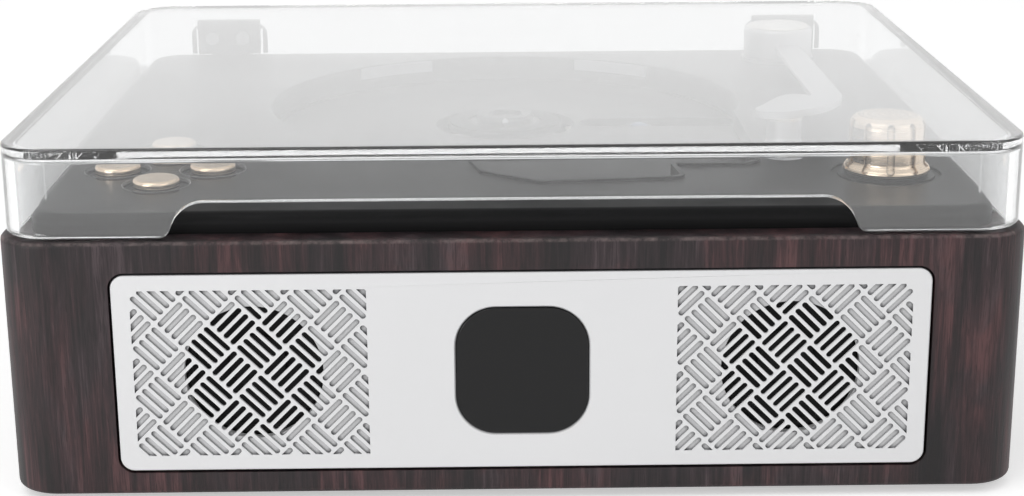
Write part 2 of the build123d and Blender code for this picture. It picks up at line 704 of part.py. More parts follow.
def make_deck():
    deck = Pos(0, 0, BODY_Z1) * extrude(deck_outline(0), DECK_RISE)
    deck = fillet(deck.faces().sort_by(Axis.Z)[-1].edges(), DECK_EDGE_R)
    deck -= Pos(0, 0, BODY_Z1) * extrude(deck_outline(SKIRT), DECK_RISE - DECK_SKIN)
    rim_w = 2 * INSIDE_X - 2 * FIT
    rim_d = 2 * INSIDE_Y - 2 * FIT
    rim = RectangleRounded(rim_w, rim_d, INNER_CORNER_R)
    rim -= RectangleRounded(rim_w - 2 * RIM_T, rim_d - 2 * RIM_T, INNER_CORNER_R - RIM_T)
    deck += Pos(0, 0, BODY_Z1 - RIM_DROP) * extrude(rim, DECK_UNDER - BODY_Z1 + RIM_DROP)
    for x, y in corners(BLOCK_X, BLOCK_Y):
        deck += post(x, y, BLOCK_TOP, DECK_UNDER, DECK_BOSS_R)
        deck -= post(x, y, BLOCK_TOP, DECK_UNDER - 2, LONG_SCREW_R)
    opening = Pos(0, 0, DECK_UNDER) * extrude(well_circle() + notch_outline(), DECK_SKIN)
    deck -= opening
    rim_cone = Cone(WELL_R, WELL_R + WELL_EASE, WELL_EASE)
    deck -= Pos(HUB_X, HUB_Y, DECK_Z - WELL_EASE / 2) * rim_cone
    lip = offset(notch_outline(), LIP_W) - notch_outline() - well_circle(WELL_EASE)
    deck += Pos(0, 0, DECK_Z) * extrude(lip, LIP_H)
    for x, y in BUTTON_PLACES.values():
        deck -= post(x, y, DECK_Z - RING_DEPTH, DECK_Z, RING_R)
        deck -= post(x, y, DECK_UNDER, DECK_Z, BUTTON_R + FIT)
    for x, y in button_post_places():
        deck += post(x, y, BUTTON_BOARD_TOP, DECK_UNDER, BOARD_POST_R)
        deck -= post(x, y, BUTTON_BOARD_TOP, BUTTON_BOARD_TOP + 5, SMALL_SCREW_R)
    groove_in = KNOB_GROOVE_R - KNOB_GROOVE_W
    deck -= ring(KNOB_X, KNOB_Y, DECK_Z - KNOB_GROOVE_DEPTH, DECK_Z, KNOB_GROOVE_R, groove_in)
    deck -= post(KNOB_X, KNOB_Y, DECK_UNDER, DECK_Z, BUSHING_R + RUN)
    deck -= post(ARM_X, ARM_Y, DECK_UNDER, DECK_Z, BUSH_R + RUN)
    deck -= post(POST_X, POST_Y, DECK_UNDER, DECK_Z, SMALL_SCREW_R + RUN)
    for x, y in micro_post_places():
        deck += post(x, y, cam_z() + CAM_T, DECK_UNDER, 1.6)
    return deck


def button_post_places():
    return [(BUTTON_X, BUTTON_Y), (BUTTON_X - 15.2, BUTTON_Y - 14.2), (BUTTON_X + 14.8, BUTTON_Y + 15.2)]


def make_tray():
    """The cup under the deck: well wall, floor and the shallower finger notch."""
    under = DECK_UNDER - TRAY_UNDER
    outer = Pos(0, 0, TRAY_UNDER) * extrude(well_circle(TRAY_WALL), under)
    bay = offset(notch_outline(), TRAY_WALL, kind=Kind.INTERSECTION)
    outer += Pos(0, 0, NOTCH_Z - TRAY_WALL) * extrude(bay, DECK_UNDER - NOTCH_Z + TRAY_WALL)
    tray = outer - Pos(0, 0, WELL_Z) * extrude(well_circle(), DECK_Z - WELL_Z)
    tray -= Pos(0, 0, NOTCH_Z) * extrude(notch_outline(), DECK_Z - NOTCH_Z)
    tray -= post(HUB_X, HUB_Y, TRAY_UNDER, WELL_Z, HUB_WINDOW_R)
    x0 = HUB_X + HUB_WINDOW_R + 1.4
    x1 = PICKUP_X + PICKUP_OUT + PICKUP_SLOT_W / 2
    slot = Pos((x0 + x1) / 2, HUB_Y) * SlotOverall(x1 - x0, PICKUP_SLOT_W)
    tray -= Pos(0, 0, TRAY_UNDER) * extrude(slot, TRAY_WALL)
    for x, y in MOUNT_POINTS:
        tray += post(x, y, CHASSIS_TOP + DAMPER_GRIP, TRAY_UNDER, MOUNT_POST_R)
        tray -= post(x, y, CHASSIS_TOP + DAMPER_GRIP, TRAY_UNDER - 1, MOUNT_SCREW_R)
    lip = ring(HUB_X, HUB_Y, WELL_Z - 0.4, WELL_Z, WELL_R - 1.2, WELL_R - 2.0)
    return tray - lip


def make_well_pad(side):
    """A pale cushion strip on the well's rear wall, just under the rim."""
    start = PAD_START if side > 0 else 180 - PAD_START - PAD_SPAN
    band = Circle(WELL_R) - Circle(WELL_R - PAD_T)
    reach = 2 * WELL_R
    wedge = make_face(Polyline(
        (0, 0), (reach * cos(radians(start)), reach * sin(radians(start))),
        (reach * cos(radians(start + PAD_SPAN)), reach * sin(radians(start + PAD_SPAN))), close=True))
    z = DECK_Z - PAD_DROP - PAD_H
    return Pos(HUB_X, HUB_Y, z) * extrude(band & wedge, PAD_H)


# Buttons and their board

def make_button(x, y):
    top = DECK_Z + BUTTON_RISE
    cap = post(x, y, DECK_UNDER - 0.6, top, BUTTON_R)
    cap = fillet(cap.faces().sort_by(Axis.Z)[-1].edges(), BUTTON_EDGE_R)
    flange_top = DECK_UNDER - FIT
    cap += post(x, y, flange_top - BUTTON_FLANGE_T, flange_top, BUTTON_FLANGE_R)
    bottom = BUTTON_BOARD_TOP + 1.9
    return cap + post(x, y, bottom, flange_top - BUTTON_FLANGE_T, STEM_R)


def make_button_board():
    half = BUTTON_BOARD / 2
    z0 = BUTTON_BOARD_TOP - BOARD_T
    board = round_block(BUTTON_X, BUTTON_Y, 2 * half, 2 * half - 1, 2, z0, BUTTON_BOARD_TOP)
    for x, y in button_post_places():
        board -= post(x, y, z0, BUTTON_BOARD_TOP, SMALL_SCREW_R + RUN)
    return board


def make_tact_switch(x, y):
    half = TACT / 2
    z0 = BUTTON_BOARD_TOP
    body = block(x - half, x + half, y - half, y + half, z0, z0 + TACT_H)
    return body - post(x, y, z0 + 0.6, z0 + TACT_H, STEM_R + SLIDE_FIT)


def make_button_screws():
    z = BUTTON_BOARD_TOP - BOARD_T - SMALL_HEAD_T
    return [screw(x, y, z, BOARD_T + 4, SMALL_SCREW_R, SMALL_HEAD_R, SMALL_HEAD_T)
            for x, y in button_post_places()]


# Volume knob and control

def knob_solid(inset):
    """The knob's turned form: round crown, straight body, flared foot with a round edge."""
    z0 = DECK_Z + KNOB_LIFT
    top = z0 + KNOB_H - inset
    body_r = KNOB_BODY_R - inset
    foot_r = KNOB_R - inset
    crown_r = KNOB_CROWN_R - inset
    widest = z0 + KNOB_FOOT_R
    with BuildPart() as knob:
        with BuildSketch(Plane.XZ):
            with BuildLine():
                Line((0, top), (body_r - crown_r, top))
                TangentArc((body_r - crown_r, top), (body_r, top - crown_r), tangent=(1, 0))
                Line((body_r, top - crown_r), (body_r, z0 + KNOB_FLARE_H))
                Spline((body_r, z0 + KNOB_FLARE_H), (foot_r, widest), tangents=[(0, -1), (0, -1)])
                TangentArc((foot_r, widest), (foot_r - KNOB_FOOT_R, z0), tangent=(0, -1))
                Polyline((foot_r - KNOB_FOOT_R, z0), (0, z0), (0, top))
            make_face()
        revolve(axis=Axis.Z)
    return knob.part


def make_knob():
    z0 = DECK_Z + KNOB_LIFT
    body = knob_solid(0)
    skin = body - knob_solid(FLUTE_DEPTH)
    low = z0 + KNOB_FOOT_R
    height = z0 + KNOB_H - FLUTE_DEPTH - low
    slot = Plane.YZ * Pos(0, low + height / 2) * SlotOverall(height, FLUTE_W, rotation=90)
    flute = extrude(slot, KNOB_R + 1) & skin
    for i in range(KNOB_FLUTES):
        body -= Rot(0, 0, FLUTE_START + 360 / KNOB_FLUTES * i) * flute
    body -= Pos(0, 0, z0 + KNOB_CAVITY_H / 2) * Cylinder(KNOB_CAVITY_R, KNOB_CAVITY_H)
    return Pos(KNOB_X, KNOB_Y) * body - make_volume_shaft()


def make_volume_shaft():
    z0 = DECK_UNDER - POT_H - 1.0
    top = DECK_Z + KNOB_LIFT + KNOB_H - 2.2
    shaft = post(KNOB_X, KNOB_Y, z0, top, SHAFT_R)
    flat_z = DECK_Z + KNOB_LIFT + KNOB_CAVITY_H
    cut = block(SHAFT_R - SHAFT_FLAT, SHAFT_R + 1, -SHAFT_R, SHAFT_R, flat_z, top)
    return shaft - Pos(KNOB_X, KNOB_Y) * cut


def make_volume_control():
    """Rotary control: body under the deck, bushing through it."""
    z1 = DECK_UNDER
    z0 = z1 - POT_H
    body = post(KNOB_X, KNOB_Y, z0, z1, POT_R)
    body = chamfer(body.faces().sort_by(Axis.Z)[0].edges(), 0.8)
    body += post(KNOB_X, KNOB_Y, z1, DECK_Z + NUT_T + 0.2, BUSHING_R)
    for i in (-1, 0, 1):
        x = KNOB_X + 5 * i
        body += block(x - 0.6, x + 0.6, KNOB_Y + POT_R - 1.5, KNOB_Y + POT_R + 4, z0 + 0.8, z0 + 1.3)
    return body - post(KNOB_X, KNOB_Y, z0 - 1, DECK_Z + 5, SHAFT_R + RUN)


def make_volume_nut():
    nut = extrude(RegularPolygon(NUT_FLATS / 2, 6, major_radius=False), NUT_T)
    nut -= Cylinder(BUSHING_R + 0.02, 10)
    return Pos(KNOB_X, KNOB_Y, DECK_Z) * nut


# Tonearm

def cam_z():
    return DECK_UNDER - BUSH_L - CAM_T - 0.6


def make_collar():
    return ring(ARM_X, ARM_Y, DECK_Z, DECK_Z + COLLAR_H, COLLAR_R, BUSH_R + RUN)


def arm_bar():
    """The bar rises a little from the column to the head."""
    root_y = ARM_Y - 4.0
    end_y = -26.0
    section = RectangleRounded(ARM_W, ARM_T, ARM_EDGE_R)
    root = Plane(origin=(80.4, root_y, DECK_Z + ARM_ROOT_Z), x_dir=(1, 0, 0), z_dir=(0, -1, 0))
    end_z = DECK_Z + ARM_HEAD_Z + ARM_T / 2
    end = Plane(origin=(76.4, end_y, end_z), x_dir=(1, 0, 0), z_dir=(0, -1, 0))
    return loft([root * section, end * section])


def arm_head():
    """A rounded leaf that bends left from the end of the bar and lies on the rest."""
    with BuildSketch() as outline:
        with BuildLine():
            Polyline((72.7, -26.0), (72.4, -29.2))
            Spline((72.4, -29.2), (67.4, -27.3), (62.8, -32.4), (58.9, -39.8), (57.0, -45.6),
                   (59.6, -47.6), (66.8, -46.2), (72.6, -42.0), (77.7, -35.0), (80.1, -26.0))
            Line((80.1, -26.0), (72.7, -26.0))
        make_face()
    head = Pos(0, 0, DECK_Z + ARM_HEAD_Z) * extrude(outline.sketch, ARM_T)
    return head


def make_arm():
    return arm_bar() + arm_head()


def make_column():
    z0 = DECK_Z + COLLAR_H + COLUMN_LIFT
    z1 = DECK_Z + COLUMN_TOP
    column = post(ARM_X, ARM_Y, z0, z1, COLUMN_R)
    column = fillet(column.faces().sort_by(Axis.Z)[-1].edges(), 0.9)
    column -= make_arm()
    return column - make_arm_shaft()


def make_column_cap():
    z = DECK_Z + COLUMN_TOP
    cap = post(ARM_X, ARM_Y, z, z + COLUMN_CAP_T, COLUMN_CAP_R)
    return fillet(cap.faces().sort_by(Axis.Z)[-1].edges(), 0.35)


def make_arm_shaft():
    top = DECK_Z + ARM_ROOT_Z - ARM_T / 2 - 0.3
    return post(ARM_X, ARM_Y, cam_z(), top, ARM_SHAFT_R)


def make_bush():
    z0 = DECK_UNDER - BUSH_L
    body = post(ARM_X, ARM_Y, z0, DECK_Z + COLLAR_H, BUSH_R)
    body += post(ARM_X, ARM_Y, DECK_UNDER - BUSH_FLANGE_T, DECK_UNDER, BUSH_FLANGE_R)
    return body - post(ARM_X, ARM_Y, z0, DECK_Z + 5, ARM_SHAFT_R + RUN)


def make_cam():
    z = cam_z()
    disc = post(ARM_X, ARM_Y, z, z + CAM_T, CAM_R)
    lobe = block(-1.6, 1.6, 0, CAM_LOBE_R, z, z + CAM_T)
    return disc + Pos(ARM_X, ARM_Y) * Rot(0, 0, 90 + ARM_SWING) * lobe - make_arm_shaft()


def micro_post_places():
    x = ARM_X - CAM_LOBE_R - 1.5 - MICRO_W / 2
    return [(x, ARM_Y - 3.2), (x, ARM_Y + 3.2)]


def make_micro_switch():
    x = ARM_X - CAM_LOBE_R - 1.5 - MICRO_W / 2
    z1 = cam_z() + CAM_T
    body = block(x - MICRO_W / 2, x + MICRO_W / 2, ARM_Y - MICRO_L / 2, ARM_Y + MICRO_L / 2, z1 - MICRO_H, z1)
    edge = x + MICRO_W / 2
    body += block(edge, edge + 1.2, ARM_Y - 1, ARM_Y + 1, z1 - 3, z1 - 1.4)
    for dy in (-4, 0, 4):
        body += block(x - 0.3, x + 0.3, ARM_Y + dy - 0.6, ARM_Y + dy + 0.6, z1 - MICRO_H - 3, z1 - MICRO_H)
    return body


def rest_top():
    return DECK_Z + ARM_HEAD_Z - POST_GAP


def make_rest():
    """The post under the parked head, flared where it stands on the deck."""
    top = rest_top() - POST_CAP_T
    neck = DECK_Z + POST_FOOT_H
    with BuildPart() as rest:
        with BuildSketch(Plane.XZ):
            with BuildLine():
                Polyline((0, top), (POST_R, top), (POST_R, neck))
                TangentArc((POST_R, neck), (POST_FOOT_R, DECK_Z), tangent=(0, -1))
                Polyline((POST_FOOT_R, DECK_Z), (0, DECK_Z), (0, top))
            make_face()
        revolve(axis=Axis.Z)
    return Pos(POST_X, POST_Y) * rest.part - post(POST_X, POST_Y, DECK_Z, DECK_Z + 4.2, SMALL_SCREW_R)


def make_rest_cap():
    cap = post(POST_X, POST_Y, rest_top() - POST_CAP_T, rest_top(), POST_CAP_R)
    return fillet(cap.faces().sort_by(Axis.Z)[-1].edges(), 0.4)


def make_rest_screw():
    z = DECK_UNDER - SMALL_HEAD_T
    return screw(POST_X, POST_Y, z, DECK_SKIN + 4, SMALL_SCREW_R, SMALL_HEAD_R, SMALL_HEAD_T)


# Disc mechanism

def gear(teeth, thickness, first_tooth):
    """A spur gear with straight-sided teeth and a little backlash, one tooth at first_tooth degrees."""
    pitch_r = GEAR_MODULE * teeth / 2
    tip = pitch_r + 0.8 * GEAR_MODULE
    root = pitch_r - 1.0 * GEAR_MODULE
    points = []
    for i in range(teeth):
        mid = first_tooth + 360 / teeth * i
        half_root = 0.30 * 360 / teeth
        half_tip = 0.13 * 360 / teeth
        for radius, turn in ((root, -half_root), (tip, -half_tip), (tip, half_tip), (root, half_root)):
            a = radians(mid + turn)
            points.append((radius * cos(a), radius * sin(a)))
    return extrude(make_face(Polyline(*points, close=True)), thickness)


def rack_line():
    """Y of the rack's pitch line."""
    return HUB_Y + RACK_BACK + 2.6


def feed_centre():
    return FEED_X, rack_line() + GEAR_MODULE * FEED_TEETH / 2


def pinion_centre():
    x, y = feed_centre()
    return x + GEAR_MODULE * (FEED_TEETH + PINION_TEETH) / 2, y


def gear_z():
    return CHASSIS_TOP + 1.5


def make_chassis():
    plate = block(CHASSIS_X0, CHASSIS_X1, CHASSIS_Y0, CHASSIS_Y1, CHASSIS_UNDER, CHASSIS_TOP)
    plate = fillet(plate.edges().filter_by(Axis.Z), 4)
    plate -= block(ROD_X0 + 5, ROD_X1 - 4, HUB_Y - 9, HUB_Y + 12, CHASSIS_UNDER, CHASSIS_TOP)
    for y in (HUB_Y + ROD_BACK, HUB_Y + ROD_FRONT):
        for x in (ROD_X0, ROD_X1):
            plate += block(x - 1.2, x + 1.2, y - 3, y + 3, CHASSIS_TOP, ROD_Z + 2.6)
            plate -= rod_x(x - 2, x + 2, y, ROD_Z, ROD_R)
    for x, y in MOUNT_POINTS:
        plate -= post(x, y, CHASSIS_UNDER, CHASSIS_TOP, DAMPER_NECK_R)
    fx, fy = feed_centre()
    plate += post(fx, fy, CHASSIS_TOP, gear_z() + GEAR_T + 1, 1.0)
    plate += post(fx, fy, CHASSIS_TOP, gear_z() - FIT, 2.2)
    px, py = pinion_centre()
    plate -= post(px, py, CHASSIS_UNDER, CHASSIS_TOP, 2.0)
    return plate


def make_damper(x, y):
    z0 = CHASSIS_UNDER - DAMPER_GRIP
    z1 = CHASSIS_TOP + DAMPER_GRIP
    body = post(x, y, z0, z1, DAMPER_R)
    body -= ring(x, y, CHASSIS_UNDER, CHASSIS_TOP, DAMPER_R + 1, DAMPER_NECK_R)
    return body - post(x, y, z0, z1, MOUNT_SCREW_R + RUN)


def make_mount_screw(x, y):
    z = CHASSIS_UNDER - DAMPER_GRIP - 1.4
    length = 2 * DAMPER_GRIP + CHASSIS_T + 6
    return screw(x, y, z, length, MOUNT_SCREW_R, 3.4, 1.4)


def make_spindle_motor():
    z0 = CHASSIS_TOP
    z1 = z0 + SPINDLE_MOTOR_H
    body = post(HUB_X, HUB_Y, z0, z1, SPINDLE_MOTOR_R)
    body = fillet(body.faces().sort_by(Axis.Z)[-1].edges(), 1.2)
    body += post(HUB_X, HUB_Y, z1, z1 + 0.8, 3.0)
    return body - post(HUB_X, HUB_Y, z0 + 0.8, z1 + 1, HUB_SHAFT_R + RUN)


def make_hub_balls():
    z = WELL_Z + PLATTER_Z + DISC_BOSS_H / 2
    out = []
    for i in range(BALLS):
        a = radians(360 / BALLS * i + 30)
        out.append(Pos(HUB_X + BALL_OUT * cos(a), HUB_Y + BALL_OUT * sin(a), z) * Sphere(BALL_R))
    return out


def make_hub():
    top = WELL_Z + PLATTER_Z
    body = post(HUB_X, HUB_Y, top - PLATTER_T, top, PLATTER_R)
    boss = post(HUB_X, HUB_Y, top, top + DISC_BOSS_H, DISC_BOSS_R)
    boss = chamfer(boss.faces().sort_by(Axis.Z)[-1].edges(), 0.7)
    boss -= post(HUB_X, HUB_Y, top + DISC_BOSS_H - 1.2, top + DISC_BOSS_H, 4.4)
    body += boss
    body += post(HUB_X, HUB_Y, CHASSIS_TOP + SPINDLE_MOTOR_H + 1.1, top - PLATTER_T, 4.0)
    body += post(HUB_X, HUB_Y, CHASSIS_TOP + 1.2, top - PLATTER_T, HUB_SHAFT_R)
    return body - make_hub_balls()


def make_disc_mat():
    top = WELL_Z + PLATTER_Z
    return ring(HUB_X, HUB_Y, top, top + DISC_MAT_T, PLATTER_R - 0.4, 9.6)


def make_guide_rod(y):
    return rod_x(ROD_X0 - 1.2, ROD_X1 + 1.2, y, ROD_Z, ROD_R)


def make_sled():
    """The pickup's sled: runs on the rear rod, straddles the front rod, carries the rack."""
    back = HUB_Y + ROD_BACK
    front = HUB_Y + ROD_FRONT
    x0 = PICKUP_X - SLED_HALF
    x1 = PICKUP_X + SLED_HALF
    z0 = ROD_Z - 2.6
    z1 = ROD_Z + 2.6
    body = block(x0, x1, front - 2.4, back + 3.4, z0, z1)
    body -= rod_x(x0, x1, back, ROD_Z, ROD_R + RUN)
    body -= block(x0, x1, front - 3, front + ROD_R + 0.4, ROD_Z - ROD_R - RUN, ROD_Z + ROD_R + RUN)
    turret = block(PICKUP_X - 6, PICKUP_X + 6, HUB_Y - 5.5, HUB_Y + 5.5, z1, TRAY_UNDER - 0.8)
    body += turret
    body += post(PICKUP_X, HUB_Y, TRAY_UNDER - 0.8, WELL_Z - 0.9, LENS_HOLDER_R)
    rack_y = rack_line()
    pitch = pi * GEAR_MODULE
    z_rack = gear_z()
    first = FEED_X - PICKUP_OUT - 3
    last = FEED_X + PICKUP_IN + 3
    body += block(first, last, rack_y - 2.6, rack_y - GEAR_MODULE, z_rack, z_rack + GEAR_T)
    body += block(x0, x1, back + 3.4 - 0.5, rack_y - 2.0, z_rack, z_rack + GEAR_T)
    count = int((last - first) / pitch)
    for i in range(-count, count + 1):
        x = FEED_X + (i + 0.5) * pitch
        if first + pitch / 2 < x < last - pitch / 2:
            body += rack_tooth(x, rack_y, z_rack, pitch)
    return body


def rack_tooth(x, y, z, pitch):
    root = y - GEAR_MODULE
    tip = y + 0.8 * GEAR_MODULE
    half_root = 0.33 * pitch
    half_tip = 0.12 * pitch
    face = make_face(Polyline(
        (x - half_root, root), (x + half_root, root), (x + half_tip, tip), (x - half_tip, tip), close=True))
    return Pos(0, 0, z) * extrude(face, GEAR_T)


def make_lens():
    z = WELL_Z - 0.9
    base = post(PICKUP_X, HUB_Y, z, z + 0.35, LENS_R)
    dome = Pos(PICKUP_X, HUB_Y, z + 0.525) * Cone(LENS_R, LENS_R * 0.55, 0.35)
    return base + dome


def make_feed_gear():
    x, y = feed_centre()
    wheel = Pos(x, y, gear_z()) * gear(FEED_TEETH, GEAR_T, -90)
    return wheel - post(x, y, gear_z(), gear_z() + GEAR_T, 1.0 + RUN)


def make_pinion():
    x, y = pinion_centre()
    first = 180 + 180 / PINION_TEETH
    wheel = Pos(x, y, gear_z()) * gear(PINION_TEETH, GEAR_T, first)
    return wheel + post(x, y, CHASSIS_UNDER - FEED_MOTOR_H + 1.5, gear_z(), 0.8)


def make_feed_motor():
    x, y = pinion_centre()
    z1 = CHASSIS_UNDER
    z0 = z1 - FEED_MOTOR_H
    body = post(x, y, z0, z1, FEED_MOTOR_R)
    body += post(x, y, z1, z1 + 0.9, 1.9)
    return body - post(x, y, z0 + 1.2, z1 + 1, 0.8 + RUN)


# Rear panel, sockets and main board

def make_rear_panel():
    y1 = REAR_Y - REAR_INSET
    rear = Plane(origin=(REAR_X, y1, REAR_Z), x_dir=(-1, 0, 0), z_dir=(0, 1, 0))
    plate = rear * extrude(RectangleRounded(REAR_W - 2 * FIT, REAR_H - 2 * FIT, REAR_R), -REAR_T)
    for x, w, h in ((USB_C_X, 9.4, 3.8), (USB_A_X, 14.0, 6.6), (SWITCH_X, 8.4, 3.4)):
        hole = extrude(RectangleRounded(w, h, 0.6), 3 * REAR_T, both=True)
        plate -= Pos(x, y1, socket_z(h)) * Rot(90, 0, 0) * hole
    plate -= rod_y(y1 - 5, y1 + 1, AUDIO_X, socket_z(7.0), 3.2)
    for x, z in rear_screw_places():
        plate -= rod_y(y1 - 5, y1 + 1, x, z, SMALL_SCREW_R + RUN)
    return plate


def socket_z(height):
    """Middle of a socket of this outer height that stands on the main board."""
    return MAIN_Z + BOARD_T + height / 2 - 0.2


def make_main_board():
    x0 = REAR_X - MAIN_W / 2
    board = block(x0, x0 + MAIN_W, MAIN_Y0, MAIN_Y1, MAIN_Z, MAIN_Z + BOARD_T)
    for x, y in main_post_places():
        board -= post(x, y, MAIN_Z, MAIN_Z + BOARD_T, SMALL_SCREW_R + RUN)
    return board


def make_main_screws():
    z = MAIN_Z + BOARD_T + SMALL_HEAD_T
    return [screw(x, y, z, BOARD_T + 3, SMALL_SCREW_R, SMALL_HEAD_R, SMALL_HEAD_T, up=False)
            for x, y in main_post_places()]


def make_usb_c():
    z0 = MAIN_Z + BOARD_T
    y1 = REAR_Y - REAR_INSET - 0.2
    shell = block(USB_C_X - 4.5, USB_C_X + 4.5, y1 - 7.4, y1, z0, z0 + 3.2)
    shell = fillet(shell.edges().filter_by(Axis.Y), 1.2)
    mouth = block(USB_C_X - 4.2, USB_C_X + 4.2, y1 - 6.4, y1, z0 + 0.3, z0 + 2.9)
    shell -= fillet(mouth.edges().filter_by(Axis.Y), 0.9)
    return shell + block(USB_C_X - 3.3, USB_C_X + 3.3, y1 - 6.6, y1 - 0.8, z0 + 1.25, z0 + 1.95)


def make_usb_a():
    z0 = MAIN_Z + BOARD_T
    y1 = REAR_Y - REAR_INSET - 0.2
    shell = block(USB_A_X - 6.6, USB_A_X + 6.6, y1 - 13, y1, z0, z0 + 5.8)
    shell -= block(USB_A_X - 6.2, USB_A_X + 6.2, y1 - 12, y1, z0 + 0.4, z0 + 5.4)
    return shell + block(USB_A_X - 5.5, USB_A_X + 5.5, y1 - 12.2, y1 - 1.0, z0 + 2.9, z0 + 4.6)


def make_audio_socket():
    z0 = MAIN_Z + BOARD_T
    y1 = REAR_Y - REAR_INSET - 0.2
    z = socket_z(7.0)
    body = block(AUDIO_X - 4, AUDIO_X + 4, y1 - 14, y1 - REAR_T - 0.4, z0, z + 3.3)
    body += rod_y(y1 - REAR_T - 0.4, y1, AUDIO_X, z, 3.0)
    return body - rod_y(y1 - 13, y1, AUDIO_X, z, 1.8)


def make_switch_body():
    z0 = MAIN_Z + BOARD_T
    y1 = REAR_Y - REAR_INSET - REAR_T - 0.1
    z = socket_z(3.4)
    body = block(SWITCH_X - 6, SWITCH_X + 6, y1 - 5, y1, z0, z0 + 3.6)
    half = 1.3 + SWITCH_TRAVEL + 0.4
    return body - block(SWITCH_X - half, SWITCH_X + half, y1 - 2.1, y1, z - 1.2, z + 1.2)


def make_switch_slider():
    """The power slider, shown at the left of its slot."""
    y1 = REAR_Y - REAR_INSET - REAR_T - 0.1
    z = socket_z(3.4)
    x = SWITCH_X - SWITCH_TRAVEL / 2
    tab = block(x - 1.3, x + 1.3, y1 - 1.8, REAR_Y - 0.3, z - 0.9, z + 0.9)
    return fillet(tab.faces().sort_by(Axis.Y)[-1].edges(), 0.25)


def make_rear_screws():
    y1 = REAR_Y - REAR_INSET
    out = []
    for x, z in rear_screw_places():
        out.append(rod_y(y1, y1 + 1.0, x, z, SMALL_HEAD_R) + rod_y(y1 - 6, y1, x, z, SMALL_SCREW_R))
    return out


def make_board_parts():
    """Chips, capacitors, coil and plug headers of the main board."""
    z = MAIN_Z + BOARD_T
    x = REAR_X
    y = (MAIN_Y0 + MAIN_Y1) / 2
    out = [block(x - 22, x - 10, y - 14, y - 2, z, z + 1.3)]
    out.append(block(x + 6, x + 14, y - 12, y - 6, z, z + 1.6))
    for dx, dy in ((22, -8), (22, 3), (-28, 6)):
        can = post(x + dx, y + dy, z, z + 11, 4)
        out.append(fillet(can.faces().sort_by(Axis.Z)[-1].edges(), 0.8))
    coil = post(x + 4, y + 8, z, z + 4, 3.6)
    out.append(coil - post(x + 4, y + 8, z + 3, z + 4, 2.0))
    for dx in (-24, -8, 8, 22):
        header = block(x + dx - 4, x + dx + 4, MAIN_Y0 + 9, MAIN_Y0 + 14, z, z + 5.5)
        socket = block(x + dx - 3.2, x + dx + 3.2, MAIN_Y0 + 9.8, MAIN_Y0 + 13.2, z + 1.2, z + 5.5)
        out.append(header - socket)
    return out


# Dust cover and hinges

def lid_outline(inset):
    return RectangleRounded(LID_W - 2 * inset, LID_D - 2 * inset, LID_CORNER_R - inset)


def finger_cut():
    """Right half of the cut-out in the cover's front wall, rounded above and flared below."""
    slope = radians(CUT_SLOPE)
    top = LID_Z0 + CUT_H
    shoulder = (CUT_HALF + CUT_TOP_R * sin(slope), top - CUT_TOP_R * (1 - cos(slope)))
    flare_z = LID_Z0 + CUT_LOW_R * (1 - cos(slope))
    flare = (shoulder[0] + (shoulder[1] - flare_z) / tan(slope), flare_z)
    end = (flare[0] + CUT_LOW_R * sin(slope), LID_Z0)
    with BuildSketch() as half:
        with BuildLine():
            Line((0, top), (CUT_HALF, top))
            TangentArc((CUT_HALF, top), shoulder, tangent=(1, 0))
            Line(shoulder, flare)
            TangentArc(flare, end, tangent=(cos(slope), -sin(slope)))
            Polyline(end, (end[0], LID_Z0 - 1), (0, LID_Z0 - 1), (0, top))
        make_face()
    return half.sketch


def make_dust_cover():
    lid = Pos(0, 0, LID_Z0) * extrude(lid_outline(0), LID_Z1 - LID_Z0)
    lid = fillet(lid.faces().sort_by(Axis.Z)[-1].edges(), LID_EDGE_R)
    inside = Pos(0, 0, LID_Z0) * extrude(lid_outline(LID_T), LID_Z1 - LID_T - LID_Z0)
    lid -= fillet(inside.faces().sort_by(Axis.Z)[-1].edges(), LID_INNER_R)
    wall = Plane(origin=(0, -LID_D / 2, 0), x_dir=(1, 0, 0), z_dir=(0, -1, 0))
    cut = wall * extrude(finger_cut(), -2 * LID_T)
    lid -= cut
    lid -= mirror(cut, Plane.YZ)
    low = [e for e in lid.edges() if e.center().Z < LID_Z0 + CUT_H + 0.1 and on_rim(e)]
    lid = fillet(low, LID_RIM_R)
    for x in (-HINGE_X, HINGE_X):
        half = HINGE_NOTCH_W / 2
        notch = block(x - half, x + half, LID_INNER_Y - 1, LID_D / 2 + 1, LID_Z0 - 1, HINGE_NOTCH_TOP)
        lid -= notch
        for sx in leaf_screw_offsets():
            lid -= rod_y(LID_INNER_Y - 1, LID_D / 2 + 1, x + sx, leaf_screw_z(), SMALL_SCREW_R + RUN)
    return lid


def on_rim(edge):
    """True for edges that run along the cover's lower rim or round the finger cut-out."""
    box = edge.bounding_box()
    level = box.max.Z - box.min.Z < 0.01
    in_front_face = box.max.Y - box.min.Y < 0.01
    return (level and box.max.Z < LID_Z0 + 0.01) or (in_front_face and box.max.Y < LID_T - LID_D / 2 + 0.01)


def leaf_screw_offsets():
    return (-5.0, 4.0)


def leaf_screw_z():
    return 67.6


